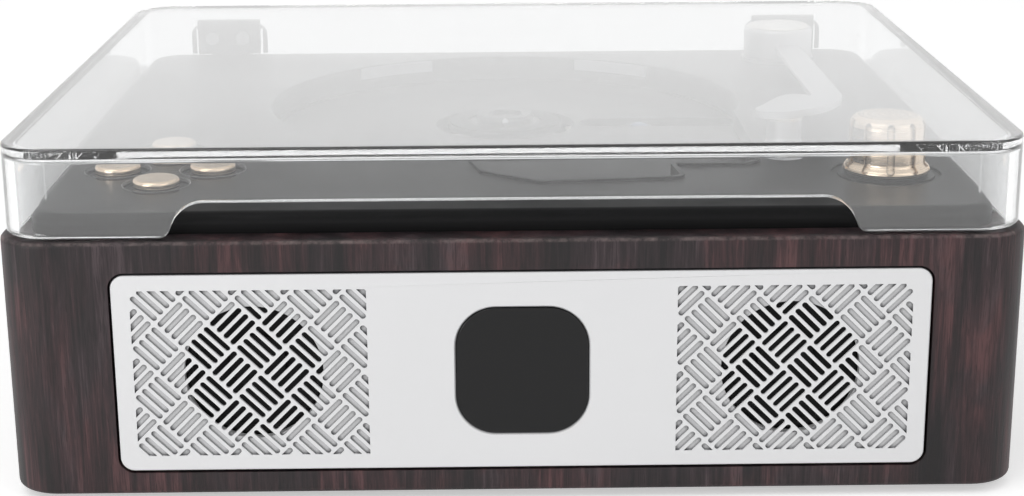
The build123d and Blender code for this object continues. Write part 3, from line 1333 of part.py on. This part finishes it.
def make_hinge_leaf(hinge):
    """The cover's half of a hinge: a plate with a thin arch round it, on one knuckle."""
    inner = LID_INNER_Y
    plane = Plane(origin=(hinge, inner, 0), x_dir=(1, 0, 0), z_dir=(0, -1, 0))
    arch_h = LEAF_SHOULDER - LEAF_FOOT
    arch = Pos(0, LEAF_FOOT + arch_h / 2) * RectangleRounded(LEAF_W, arch_h, 3.0)
    arch += Pos(0, LEAF_FOOT + 2) * Rectangle(LEAF_W, 4)
    rib = (LEAF_W - LEAF_PLATE_W) / 2 - LEAF_SLOT
    arch -= Pos(0, LEAF_FOOT + (arch_h - rib) / 2) * Rectangle(LEAF_W - 2 * rib, arch_h - rib)
    leaf = plane * extrude(arch, LEAF_ARCH_T)
    x0 = hinge - LEAF_PLATE_W / 2
    x1 = hinge + LEAF_PLATE_W / 2
    leaf += block(x0, x1, inner - LEAF_T, inner, LEAF_LOW, LEAF_TOP)
    leaf += block(x0, x1, inner - LEAF_T, inner - LEAF_ARCH_T, LEAF_FOOT, LEAF_LOW)
    half = KNUCKLE_W / 2
    leaf += block(hinge - half, hinge + half, inner - LEAF_T, inner, AXIS_Z, LEAF_LOW + 1)
    leaf += rod_x(hinge - half, hinge + half, AXIS_Y, AXIS_Z, KNUCKLE_R)
    leaf -= rod_x(hinge - half, hinge + half, AXIS_Y, AXIS_Z, PIN_R + RUN)
    for sx in leaf_screw_offsets():
        leaf -= rod_y(inner - LEAF_T, inner, hinge + sx, leaf_screw_z(), SMALL_SCREW_R)
    return leaf


def make_hinge_base(hinge):
    """The cabinet's half: a foot on the rear wall's top with two outer knuckles."""
    half = BASE_W / 2
    z0 = BODY_Z1
    y0 = DECK_CY + DECK_D / 2 + BASE_GAP
    base = block(hinge - half, hinge + half, y0, REAR_Y - 1.4, z0, z0 + BASE_T)
    near = KNUCKLE_W / 2 + FIT
    far = near + BASE_KNUCKLE_W
    for side in (-1, 1):
        x0 = hinge + min(side * near, side * far)
        x1 = hinge + max(side * near, side * far)
        base += rod_x(x0, x1, AXIS_Y, AXIS_Z, KNUCKLE_R)
        base += block(x0, x1, AXIS_Y - 1.0, AXIS_Y + 0.4, z0, AXIS_Z)
    base -= rod_x(hinge - half, hinge + half, AXIS_Y, AXIS_Z, PIN_R)
    for x, y in hinge_screws():
        base -= post(x, y, z0, z0 + BASE_T, SMALL_SCREW_R + RUN)
    return base


def make_hinge_pin(hinge):
    half = KNUCKLE_W / 2 + FIT + BASE_KNUCKLE_W
    return rod_x(hinge - half, hinge + half, AXIS_Y, AXIS_Z, PIN_R)


def make_base_screws():
    z = BODY_Z1 + BASE_T + 0.8
    return [screw(x, y, z, 6.0, SMALL_SCREW_R, SMALL_HEAD_R - 0.4, 0.8, up=False) for x, y in hinge_screws()]


def make_leaf_screws():
    out = []
    y0 = LID_INNER_Y - LEAF_T
    y1 = LID_D / 2
    for hinge in (-HINGE_X, HINGE_X):
        for sx in leaf_screw_offsets():
            x = hinge + sx
            head = rod_y(y0 - 0.8, y0, x, leaf_screw_z(), SMALL_HEAD_R)
            out.append(head + rod_y(y0, y1, x, leaf_screw_z(), SMALL_SCREW_R))
    return out


def bumper_places():
    x = LID_W / 2 - LID_T / 2
    return [(sx * x, y) for sx in (-1, 1) for y in (-LID_D / 2 + 20, LID_D / 2 - 40)]


def make_bumper(x, y):
    return post(x, y, BODY_Z1, LID_Z0 - BUMPER_GAP, BUMPER_R)


def both_sides(make):
    return [make(-1), make(1)]


def main():
    os.makedirs("parts", exist_ok=True)
    save("cabinet", make_cabinet())
    save("bottom_cover", make_bottom_cover())
    save("feet", [make_foot(x, y) for x, y in corners(FOOT_X, FOOT_Y)])
    save("corner_blocks", [make_corner_block(x, y) for x, y in corners(BLOCK_X, BLOCK_Y)])
    save("long_screws", [make_long_screw(x, y) for x, y in corners(BLOCK_X, BLOCK_Y)])
    save("front_panel", make_front_panel())
    save("display_window", make_window())
    save("display_board", make_display_board())
    save("display_digits", make_digits())
    save("speaker_gaskets", both_sides(make_gasket))
    save("speaker_baskets", both_sides(make_basket))
    save("speaker_magnets", both_sides(make_magnet))
    save("speaker_cones", both_sides(make_cone))
    save("top_deck", make_deck())
    save("disc_tray", make_tray())
    save("well_pads", both_sides(make_well_pad))
    for name, (x, y) in BUTTON_PLACES.items():
        save(name + "_button", make_button(x, y))
    switches = [make_tact_switch(x, y) for x, y in BUTTON_PLACES.values()]
    save("button_board", [make_button_board()] + switches)
    save("volume_knob", make_knob())
    save("volume_shaft", make_volume_shaft())
    save("volume_control", make_volume_control())
    save("volume_nut", make_volume_nut())
    save("tonearm_collar", make_collar())
    save("tonearm_column", make_column())
    save("tonearm_cap", make_column_cap())
    save("tonearm", make_arm())
    save("tonearm_shaft", make_arm_shaft())
    save("tonearm_bush", make_bush())
    save("tonearm_cam", make_cam())
    save("tonearm_switch", make_micro_switch())
    save("tonearm_rest", make_rest())
    save("tonearm_rest_cap", make_rest_cap())
    save("mechanism_chassis", make_chassis())
    save("mechanism_dampers", [make_damper(x, y) for x, y in MOUNT_POINTS])
    save("spindle_motor", make_spindle_motor())
    save("spindle_hub", make_hub())
    save("hub_balls", make_hub_balls())
    save("disc_mat", make_disc_mat())
    save("guide_rods", [make_guide_rod(HUB_Y + ROD_BACK), make_guide_rod(HUB_Y + ROD_FRONT)])
    save("pickup_sled", make_sled())
    save("pickup_lens", make_lens())
    save("feed_gear", make_feed_gear())
    save("feed_pinion", make_pinion())
    save("feed_motor", make_feed_motor())
    save("rear_panel", make_rear_panel())
    save("main_board", [make_main_board()] + make_board_parts())
    save("usb_sockets", [make_usb_c(), make_usb_a()])
    save("audio_socket", make_audio_socket())
    save("power_switch", make_switch_body())
    save("power_slider", make_switch_slider())
    save("dust_cover", make_dust_cover())
    save("hinge_leaves", [make_hinge_leaf(-HINGE_X), make_hinge_leaf(HINGE_X)])
    save("hinge_leaf_screws", make_leaf_screws())
    save("hinge_bases", [make_hinge_base(-HINGE_X), make_hinge_base(HINGE_X)])
    save("hinge_pins", [make_hinge_pin(-HINGE_X), make_hinge_pin(HINGE_X)])
    save("lid_bumpers", [make_bumper(x, y) for x, y in bumper_places()])
    screws = make_display_screws() + make_speaker_screws() + make_button_screws() + make_main_screws()
    screws += make_rear_screws() + make_base_screws() + [make_rest_screw()]
    save("small_screws", screws + [make_mount_screw(x, y) for x, y in MOUNT_POINTS])


main()
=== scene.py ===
import math

import bmesh
import bpy
from mathutils import Matrix, Vector


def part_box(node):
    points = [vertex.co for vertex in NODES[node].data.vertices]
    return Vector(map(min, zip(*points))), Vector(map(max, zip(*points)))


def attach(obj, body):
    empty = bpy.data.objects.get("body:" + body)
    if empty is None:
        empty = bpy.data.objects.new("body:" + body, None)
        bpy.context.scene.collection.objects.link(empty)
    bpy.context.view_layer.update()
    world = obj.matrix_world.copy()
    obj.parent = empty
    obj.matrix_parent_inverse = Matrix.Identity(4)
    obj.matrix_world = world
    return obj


# Camera, fitted to the photograph's edges and circles
PHOTO_W = 1024                    # pixels
FOCAL_PX = 1972.39                # focal length in those pixels
SENSOR_W = 36.0                   # mm
CAMERA_AT = (-0.00429, -0.49369, 0.17152)
YAW, PITCH, ROLL = -0.00958, 0.2796, -0.00704

# Lamps: place, size and power in watts
LAMP_AIM = (0, 0, 0.05)
LAMPS = {
    "key": ((-0.5, -0.5, 1.1), (0.9, 0.9), 3.4),
    "side": ((-0.8, -0.9, 0.2), (0.6, 0.35), 3.6),
    "fill": ((0.8, -0.7, 0.7), (0.8, 0.8), 1.9),
}
SKY_LEFT, SKY_RIGHT = 0.66, 0.38  # the world's light from -X and from +X
FLOOR_HALF = 3.0
FLOOR_TONE = 0.88
FLOOR_GLOW = 0.45                 # lifts the floor to white for rays that see it directly
# The clear cover's rims are seen through many faces
BOUNCES = {"max_bounces": 32, "glossy_bounces": 16, "transmission_bounces": 32}

# Beads round the buttons' dishes, in metres
RIM_RADIUS = 0.00755
RIM_W = 0.0003
RIM_H = 0.00012
RIM_SUNK = 0.00003                # its lower edge lies this far in the deck
RIM_STEPS = 128

BUTTONS = ("left_button", "right_button", "front_button", "back_button")

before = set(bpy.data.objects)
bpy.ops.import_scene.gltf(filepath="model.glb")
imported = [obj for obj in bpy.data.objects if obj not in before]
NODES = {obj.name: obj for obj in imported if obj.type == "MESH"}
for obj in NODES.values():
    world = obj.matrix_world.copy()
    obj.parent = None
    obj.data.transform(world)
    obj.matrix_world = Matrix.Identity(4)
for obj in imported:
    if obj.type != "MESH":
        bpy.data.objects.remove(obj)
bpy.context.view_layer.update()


def srgb(r, g, b):
    """A colour given as 0-255 display values, in the linear values that shaders use."""
    out = []
    for v in (r, g, b):
        v = v / 255
        out.append(v / 12.92 if v <= 0.04045 else ((v + 0.055) / 1.055) ** 2.4)
    return (*out, 1.0)


def shaded(color, factor):
    """The colour times a factor, each channel at most 1."""
    return tuple(min(1.0, c * factor) for c in color[:3]) + (1.0,)


class Look:
    """A material with a Principled shader, and short calls for the nodes that feed it."""

    def __init__(self, name, color, rough, **fixed):
        self.mat = bpy.data.materials.new(name)
        self.mat.use_nodes = True
        self.tree = self.mat.node_tree
        self.shader = self.tree.nodes["Principled BSDF"]
        self.set("Base Color", color)
        self.set("Roughness", rough)
        for key, value in fixed.items():
            self.set(key.replace("_", " "), value)
        self.where = self.add("ShaderNodeTexCoord").outputs

    def feed(self, socket, value):
        """Link an output to a socket, or set the socket's own value."""
        if hasattr(value, "is_linked"):
            self.tree.links.new(value, socket)
        else:
            socket.default_value = value

    def set(self, name, value):
        self.feed(self.shader.inputs[name], value)

    def add(self, kind, values=None):
        """A new node with its sockets fed, by their names or numbers."""
        node = self.tree.nodes.new(kind)
        for key, value in (values or {}).items():
            self.feed(node.inputs[key], value)
        return node

    def scaled(self, sx, sy, sz, shift=(0, 0, 0)):
        """The place in the object, in metres, with each axis scaled, then shifted."""
        node = self.add("ShaderNodeMapping", {
            "Vector": self.where["Object"], "Scale": (sx, sy, sz), "Location": shift})
        return node.outputs["Vector"]

    def upward(self):
        """1 where the surface faces up, 0 where it is upright, -1 where it faces down."""
        return self.add("ShaderNodeSeparateXYZ", {"Vector": self.where["Normal"]}).outputs["Z"]

    def noise(self, scale, detail, rough, at=None, warp=0.0):
        node = self.add("ShaderNodeTexNoise", {
            "Vector": at if at is not None else self.where["Object"],
            "Scale": scale, "Detail": detail, "Roughness": rough, "Distortion": warp})
        return node.outputs["Fac"]

    def ramp(self, value, stops):
        """Grey values or colours at their places between 0 and 1."""
        node = self.add("ShaderNodeValToRGB", {"Fac": value})
        ends = node.color_ramp.elements
        while len(ends) < len(stops):
            ends.new(0.5)
        for end, (at, color) in zip(ends, stops):
            end.position = at
            end.color = color if hasattr(color, "__len__") else (color, color, color, 1)
        return node.outputs["Color"]

    def spread(self, value, low, high, to_low, to_high):
        """The value's range from low to high, put on another range and kept inside it."""
        node = self.add("ShaderNodeMapRange", {
            "Value": value, "From Min": low, "From Max": high, "To Min": to_low, "To Max": to_high})
        return node.outputs["Result"]

    def math(self, how, a, b=0.0):
        node = self.add("ShaderNodeMath", {0: a, 1: b})
        node.operation = how
        return node.outputs[0]

    def mix(self, amount, a, b):
        node = self.add("ShaderNodeMix")
        node.data_type = "RGBA"
        for key, value in ((0, amount), (6, a), (7, b)):
            self.feed(node.inputs[key], value)
        return node.outputs[2]

    def hollow(self, reach, low, high):
        """An ambient-occlusion mask for painted shade: 0 deep in a corner no wider than reach, 1 in the open.
        """
        node = self.add("ShaderNodeAmbientOcclusion", {"Distance": reach})
        node.samples = 8
        return self.spread(node.outputs["AO"], low, high, 0.0, 1.0)

    def bump(self, height, distance, strength):
        node = self.add("ShaderNodeBump", {"Height": height, "Distance": distance, "Strength": strength})
        self.set("Normal", node.outputs["Normal"])


def put(look, *names):
    for name in names:
        for slot in NODES[name].material_slots:
            slot.material = look.mat


def axis_of(name):
    """Where a round node's upright axis stands, from its box."""
    low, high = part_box(name)
    return ((low[0] + high[0]) / 2, (low[1] + high[1]) / 2)


# Materials

def rosewood():
    """Dark veneer, grain upright: grey and red-brown patches, streaks, short pores, and a top edge lightened
    by wear and a painted highlight.
    """
    k = Look("rosewood", srgb(50, 38, 40), 0.45, Specular_IOR_Level=0.38)
    patch = k.noise(1.0, 4.0, 0.6, k.scaled(58, 58, 25.0), warp=0.6)
    band = k.noise(1.0, 5.0, 0.6, k.scaled(150, 150, 19.0, shift=(5, 3, 0)), warp=0.4)
    line = k.noise(1.0, 7.0, 0.7, k.scaled(850, 850, 34.0, shift=(3, 1, 2)), warp=0.3)
    pore = k.noise(1.0, 3.0, 0.6, k.scaled(2600, 2600, 165.0))
    tone = k.math("ADD", k.math("MULTIPLY", band, 0.5), k.math("MULTIPLY", line, 0.5))
    brown = k.ramp(tone, [
        (0.41, srgb(24, 17, 18)),
        (0.47, srgb(42, 29, 31)),
        (0.53, srgb(60, 40, 42)),
        (0.60, srgb(88, 60, 61)),
    ])
    grey = k.ramp(tone, [
        (0.41, srgb(19, 16, 18)),
        (0.47, srgb(34, 27, 29)),
        (0.53, srgb(47, 37, 40)),
        (0.60, srgb(70, 59, 62)),
    ])
    color = k.mix(k.spread(patch, 0.43, 0.57, 0.0, 1.0), brown, grey)
    dark = k.ramp(pore, [(0.54, 0.0), (0.66, 1.0)])
    color = k.mix(k.math("MULTIPLY", dark, 0.6), color, srgb(16, 12, 13))
    # Painted highlight and wear: the rounded top edge, where the surface faces partly up, is lightened in
    # noisy specks.
    rim = k.ramp(k.upward(), [(0.25, 0.0), (0.55, 1.0), (0.8, 1.0), (0.97, 0.0)])
    wear_and_highlight = k.spread(k.noise(420.0, 3.0, 0.6), 0.42, 0.68, 0.05, 0.6)
    k.set("Base Color", k.mix(k.math("MULTIPLY", rim, wear_and_highlight), color, srgb(124, 110, 108)))
    k.set("Roughness", k.spread(line, 0.3, 0.7, 0.42, 0.56))
    k.bump(k.math("SUBTRACT", line, k.math("MULTIPLY", dark, 0.5)), 0.00006, 0.5)
    return k


def grained(k, rough, grain, depth):
    """A fine even grain and a faint slow change of gloss; returns the slow change."""
    fine = k.noise(grain, 3.0, 0.6)
    slow = k.noise(18.0, 3.0, 0.5)
    k.set("Roughness", k.spread(k.math("ADD", fine, slow), 0.7, 1.3, rough - 0.05, rough + 0.06))
    k.bump(fine, depth, 0.6)
    return slow


def moulded(name, color, rough, grain=900, depth=0.00002, **fixed):
    """Moulded plastic, a little darker and lighter in slow patches."""
    k = Look(name, color, rough, **fixed)
    slow = grained(k, rough, grain, depth)
    k.set("Base Color", k.mix(slow, shaded(color, 0.95), shaded(color, 1.04)))
    return k


def panel_white():
    """White moulded panel; the corners of its slots are darkened with painted grey shade."""
    k = Look("panel_plastic", srgb(226, 226, 227), 0.42)
    slow = grained(k, 0.42, 1300, 0.00001)
    open_face = k.mix(slow, srgb(230, 230, 231), srgb(236, 236, 237))
    # Painted shade: an ambient-occlusion mask turns the slots' corners grey.
    k.set("Base Color", k.mix(k.hollow(0.0009, 0.35, 0.95), srgb(96, 97, 100), open_face))
    return k


def deck_satin():
    """Black satin plastic with a fine spark grain, slightly smoother where it has been wiped."""
    k = Look("deck_satin", srgb(15, 15, 16), 0.36, Specular_IOR_Level=0.15)
    haze = k.noise(26.0, 4.0, 0.6)
    k.set("Base Color", k.mix(haze, srgb(13, 13, 14), srgb(18, 18, 19)))
    k.set("Roughness", k.spread(haze, 0.35, 0.65, 0.30, 0.42))
    k.bump(k.noise(1900.0, 2.0, 0.5), 0.000008, 0.5)
    return k


def turned_metal(name, color, rough, axis_at, turns=5200.0):
    """Metal turned on a lathe: fine rings round a vertical axis, and painted shade in its corners."""
    k = Look(name, color, rough, Metallic=1.0, Anisotropic=0.3)
    at_axis = k.scaled(1, 1, 1, shift=(-axis_at[0], -axis_at[1], 0))
    split = k.add("ShaderNodeSeparateXYZ", {"Vector": at_axis})
    x, y, z = (split.outputs[i] for i in range(3))
    radius = k.math("SQRT", k.math("ADD", k.math("MULTIPLY", x, x), k.math("MULTIPLY", y, y)))
    across = k.add("ShaderNodeCombineXYZ", {
        "X": k.math("MULTIPLY", radius, turns), "Z": k.math("MULTIPLY", z, turns)})
    rings = k.noise(1.0, 2.0, 0.6, across.outputs[0])
    unshaded_rings = k.mix(rings, shaded(color, 0.94), shaded(color, 1.06))
    # Painted shade: an ambient-occlusion mask darkens the corners towards a third of the colour.
    k.set("Base Color", k.mix(k.hollow(0.0011, 0.45, 0.9), shaded(color, 0.32), unshaded_rings))
    k.set("Roughness", k.spread(rings, 0.3, 0.7, rough - 0.05, rough + 0.08))
    k.bump(rings, 0.000005, 0.6)
    return k


def satin_metal(name, color, rough, metallic=1.0):
    """Blasted or plated metal with a fine grain."""
    k = Look(name, color, rough, Metallic=metallic)
    slow = k.noise(40.0, 3.0, 0.5)
    k.set("Base Color", k.mix(slow, shaded(color, 0.95), shaded(color, 1.03)))
    k.set("Roughness", k.spread(slow, 0.3, 0.7, rough - 0.05, rough + 0.07))
    k.bump(k.noise(2200.0, 3.0, 0.6), 0.000006, 0.6)
    return k


def acrylic():
    """Clear moulded sheet with a hard gloss coat; its rounded rims are a little less polished."""
    k = Look("clear_acrylic", (1.0, 1.0, 1.0, 1.0), 0.0, IOR=1.49, Transmission_Weight=1.0,
             Coat_Weight=0.84, Coat_Roughness=0.0, Coat_IOR=1.5)
    wave = k.noise(9.0, 2.0, 0.4)
    k.set("Base Color", k.mix(wave, (0.935, 0.943, 0.948, 1.0), (0.955, 0.960, 0.963, 1.0)))
    level = k.math("ABSOLUTE", k.upward())
    k.set("Roughness", k.ramp(level, [(0.10, 0.0), (0.25, 0.16), (0.90, 0.16), (0.98, 0.0)]))
    return k


GOLD = srgb(228, 208, 185)
PALE = srgb(228, 222, 214)

put(rosewood(), "cabinet")
put(panel_white(), "front_panel")
put(moulded("window_plastic", srgb(13, 13, 14), 0.14, 700, 0.000002, Specular_IOR_Level=0.3),
    "display_window")
put(deck_satin(), "top_deck", "disc_tray")
put(acrylic(), "dust_cover")
put(turned_metal("knob_gold", GOLD, 0.26, axis_of("volume_knob")), "volume_knob")
for part in BUTTONS:
    put(turned_metal("gold_" + part, GOLD, 0.22, axis_of(part)), part)
put(turned_metal("cap_silver", PALE, 0.26, axis_of("tonearm_cap")), "tonearm_cap")
put(turned_metal("rest_silver", PALE, 0.26, axis_of("tonearm_rest_cap")), "tonearm_rest_cap")
put(satin_metal("arm_silver", srgb(200, 200, 202), 0.34, 0.6),
    "tonearm", "tonearm_column", "tonearm_rest", "tonearm_collar")
put(moulded("pad_grey", srgb(190, 192, 196), 0.6), "well_pads")
put(moulded("black_plastic", srgb(30, 30, 31), 0.4),
    "bottom_cover", "rear_panel", "tonearm_switch", "audio_socket", "power_slider", "display_digits",
    "pickup_sled", "spindle_hub", "hinge_leaves", "hinge_bases", "speaker_baskets")
put(moulded("rubber", srgb(26, 26, 26), 0.75, 1500, 0.00003),
    "feet", "speaker_gaskets", "mechanism_dampers", "disc_mat")
put(satin_metal("steel", srgb(170, 171, 174), 0.28),
    "long_screws", "small_screws", "hinge_leaf_screws", "volume_nut", "volume_control", "volume_shaft",
    "tonearm_shaft", "mechanism_chassis", "spindle_motor", "guide_rods", "feed_motor", "usb_sockets",
    "power_switch", "hinge_pins", "hub_balls")
put(satin_metal("brass", srgb(200, 165, 95), 0.3), "tonearm_bush")
put(moulded("nylon", srgb(225, 222, 212), 0.5), "tonearm_cam", "feed_gear", "feed_pinion")
put(moulded("board_green", srgb(22, 84, 52), 0.35), "button_board", "display_board", "main_board")
put(moulded("ferrite", srgb(60, 60, 63), 0.55), "speaker_magnets")
put(moulded("cone_paper", srgb(20, 20, 21), 0.85, 700, 0.00006), "speaker_cones")
put(moulded("block_wood", srgb(188, 156, 116), 0.6), "corner_blocks")
put(moulded("lens_glass", srgb(90, 110, 150), 0.08, 300, 0.000001, IOR=1.5), "pickup_lens")
put(moulded("bumper", srgb(235, 235, 235), 0.3, 600, 0.000002, Transmission_Weight=0.8, IOR=1.45),
    "lid_bumpers")


# Fine trim

def bead_ring(name, center, z, look):
    """A thin round bead that lies on a flat face."""
    half = RIM_W / 2
    profile = [(-half, -RIM_SUNK), (-half, RIM_H / 2), (-half / 2, RIM_H),
               (half / 2, RIM_H), (half, RIM_H / 2), (half, -RIM_SUNK)]
    mesh = bmesh.new()
    rows = []
    for i in range(RIM_STEPS):
        turn = 2 * math.pi * i / RIM_STEPS
        row = []
        for out, rise in profile:
            x = center[0] + (RIM_RADIUS + out) * math.cos(turn)
            y = center[1] + (RIM_RADIUS + out) * math.sin(turn)
            row.append(mesh.verts.new((x, y, z + rise)))
        rows.append(row)
    for i, a in enumerate(rows):
        b = rows[(i + 1) % RIM_STEPS]
        for j in range(len(profile)):
            after = (j + 1) % len(profile)
            mesh.faces.new((a[j], b[j], b[after], a[after]))
    bmesh.ops.recalc_face_normals(mesh, faces=mesh.faces)
    data = bpy.data.meshes.new(name)
    mesh.to_mesh(data)
    mesh.free()
    for face in data.polygons:
        face.use_smooth = True
    data.materials.append(look.mat)
    obj = bpy.data.objects.new(name, data)
    bpy.context.scene.collection.objects.link(obj)
    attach(obj, "player")


RIM = moulded("rim_gloss", srgb(92, 92, 93), 0.2, 1500, 0.000002)
DECK_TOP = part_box("top_deck")[1].z
for part in BUTTONS:
    bead_ring("rim_" + part, axis_of(part), DECK_TOP, RIM)


# Studio

def seen_directly(tree):
    """1 for rays that come from the camera, off a gloss or through a clear part, else 0."""
    path = tree.nodes.new("ShaderNodeLightPath")
    value = path.outputs["Is Camera Ray"]
    for name in ("Is Glossy Ray", "Is Transmission Ray"):
        either = tree.nodes.new("ShaderNodeMath")
        either.operation = "MAXIMUM"
        tree.links.new(value, either.inputs[0])
        tree.links.new(path.outputs[name], either.inputs[1])
        value = either.outputs[0]
    return value


def make_floor():
    mesh = bpy.data.meshes.new("floor")
    half = FLOOR_HALF
    corners = [(-half, -half, 0), (half, -half, 0), (half, half, 0), (-half, half, 0)]
    mesh.from_pydata(corners, [], [(0, 1, 2, 3)])
    floor = bpy.data.objects.new("floor", mesh)
    bpy.context.scene.collection.objects.link(floor)
    mat = bpy.data.materials.new("floor_white")
    mat.use_nodes = True
    tree = mat.node_tree
    shader = tree.nodes["Principled BSDF"]
    shader.inputs["Base Color"].default_value = (FLOOR_TONE, FLOOR_TONE, FLOOR_TONE, 1)
    shader.inputs["Roughness"].default_value = 0.9
    shader.inputs["Specular IOR Level"].default_value = 0.0
    shader.inputs["Emission Color"].default_value = (1, 1, 1, 1)
    glow = tree.nodes.new("ShaderNodeMath")
    glow.operation = "MULTIPLY"
    glow.inputs[1].default_value = FLOOR_GLOW
    tree.links.new(seen_directly(tree), glow.inputs[0])
    tree.links.new(glow.outputs[0], shader.inputs["Emission Strength"])
    mesh.materials.append(mat)


def make_world():
    """Even light, a little stronger from the left; white where it is seen directly."""
    world = bpy.data.worlds.new("studio")
    bpy.context.scene.world = world
    world.use_nodes = True
    tree = world.node_tree
    tree.nodes.clear()
    out = tree.nodes.new("ShaderNodeOutputWorld")
    light = tree.nodes.new("ShaderNodeBackground")
    light.inputs["Color"].default_value = (1, 1, 1, 1)
    aim = tree.nodes.new("ShaderNodeSeparateXYZ")
    tree.links.new(tree.nodes.new("ShaderNodeTexCoord").outputs["Generated"], aim.inputs[0])
    fall = tree.nodes.new("ShaderNodeMapRange")
    tree.links.new(aim.outputs["X"], fall.inputs["Value"])
    for socket, value in (("From Min", -1.0), ("From Max", 1.0), ("To Min", SKY_LEFT), ("To Max", SKY_RIGHT)):
        fall.inputs[socket].default_value = value
    tree.links.new(fall.outputs["Result"], light.inputs["Strength"])
    white = tree.nodes.new("ShaderNodeBackground")
    white.inputs["Color"].default_value = (1, 1, 1, 1)
    white.inputs["Strength"].default_value = 1.0
    mix = tree.nodes.new("ShaderNodeMixShader")
    tree.links.new(seen_directly(tree), mix.inputs[0])
    tree.links.new(light.outputs[0], mix.inputs[1])
    tree.links.new(white.outputs[0], mix.inputs[2])
    tree.links.new(mix.outputs[0], out.inputs["Surface"])


def area_lamp(name, at, size, power):
    lamp = bpy.data.lights.new(name, "AREA")
    lamp.shape = "RECTANGLE"
    lamp.size, lamp.size_y = size
    lamp.energy = power
    obj = bpy.data.objects.new(name, lamp)
    bpy.context.scene.collection.objects.link(obj)
    obj.location = at
    obj.rotation_euler = (Vector(LAMP_AIM) - Vector(at)).to_track_quat("-Z", "Y").to_euler()


def make_camera():
    cam = bpy.data.cameras.new("camera")
    cam.sensor_fit = "HORIZONTAL"
    cam.sensor_width = SENSOR_W
    cam.lens = FOCAL_PX / PHOTO_W * SENSOR_W
    cam.clip_start = 0.01
    obj = bpy.data.objects.new("camera", cam)
    bpy.context.scene.collection.objects.link(obj)
    ahead = Vector((-math.sin(YAW) * math.cos(PITCH), math.cos(YAW) * math.cos(PITCH), -math.sin(PITCH)))
    level_side = Vector((math.cos(YAW), math.sin(YAW), 0))
    level_up = level_side.cross(ahead)
    side = level_side * math.cos(ROLL) + level_up * math.sin(ROLL)
    up = level_up * math.cos(ROLL) - level_side * math.sin(ROLL)
    turn = Matrix((side, up, -ahead)).transposed().to_4x4()
    obj.matrix_world = Matrix.Translation(CAMERA_AT) @ turn
    bpy.context.scene.camera = obj


make_floor()
make_world()
for lamp_name, (lamp_at, lamp_size, lamp_power) in LAMPS.items():
    area_lamp(lamp_name, lamp_at, lamp_size, lamp_power)
make_camera()
bpy.context.scene.view_settings.view_transform = "Standard"
for limit, count in BOUNCES.items():
    setattr(bpy.context.scene.cycles, limit, count)
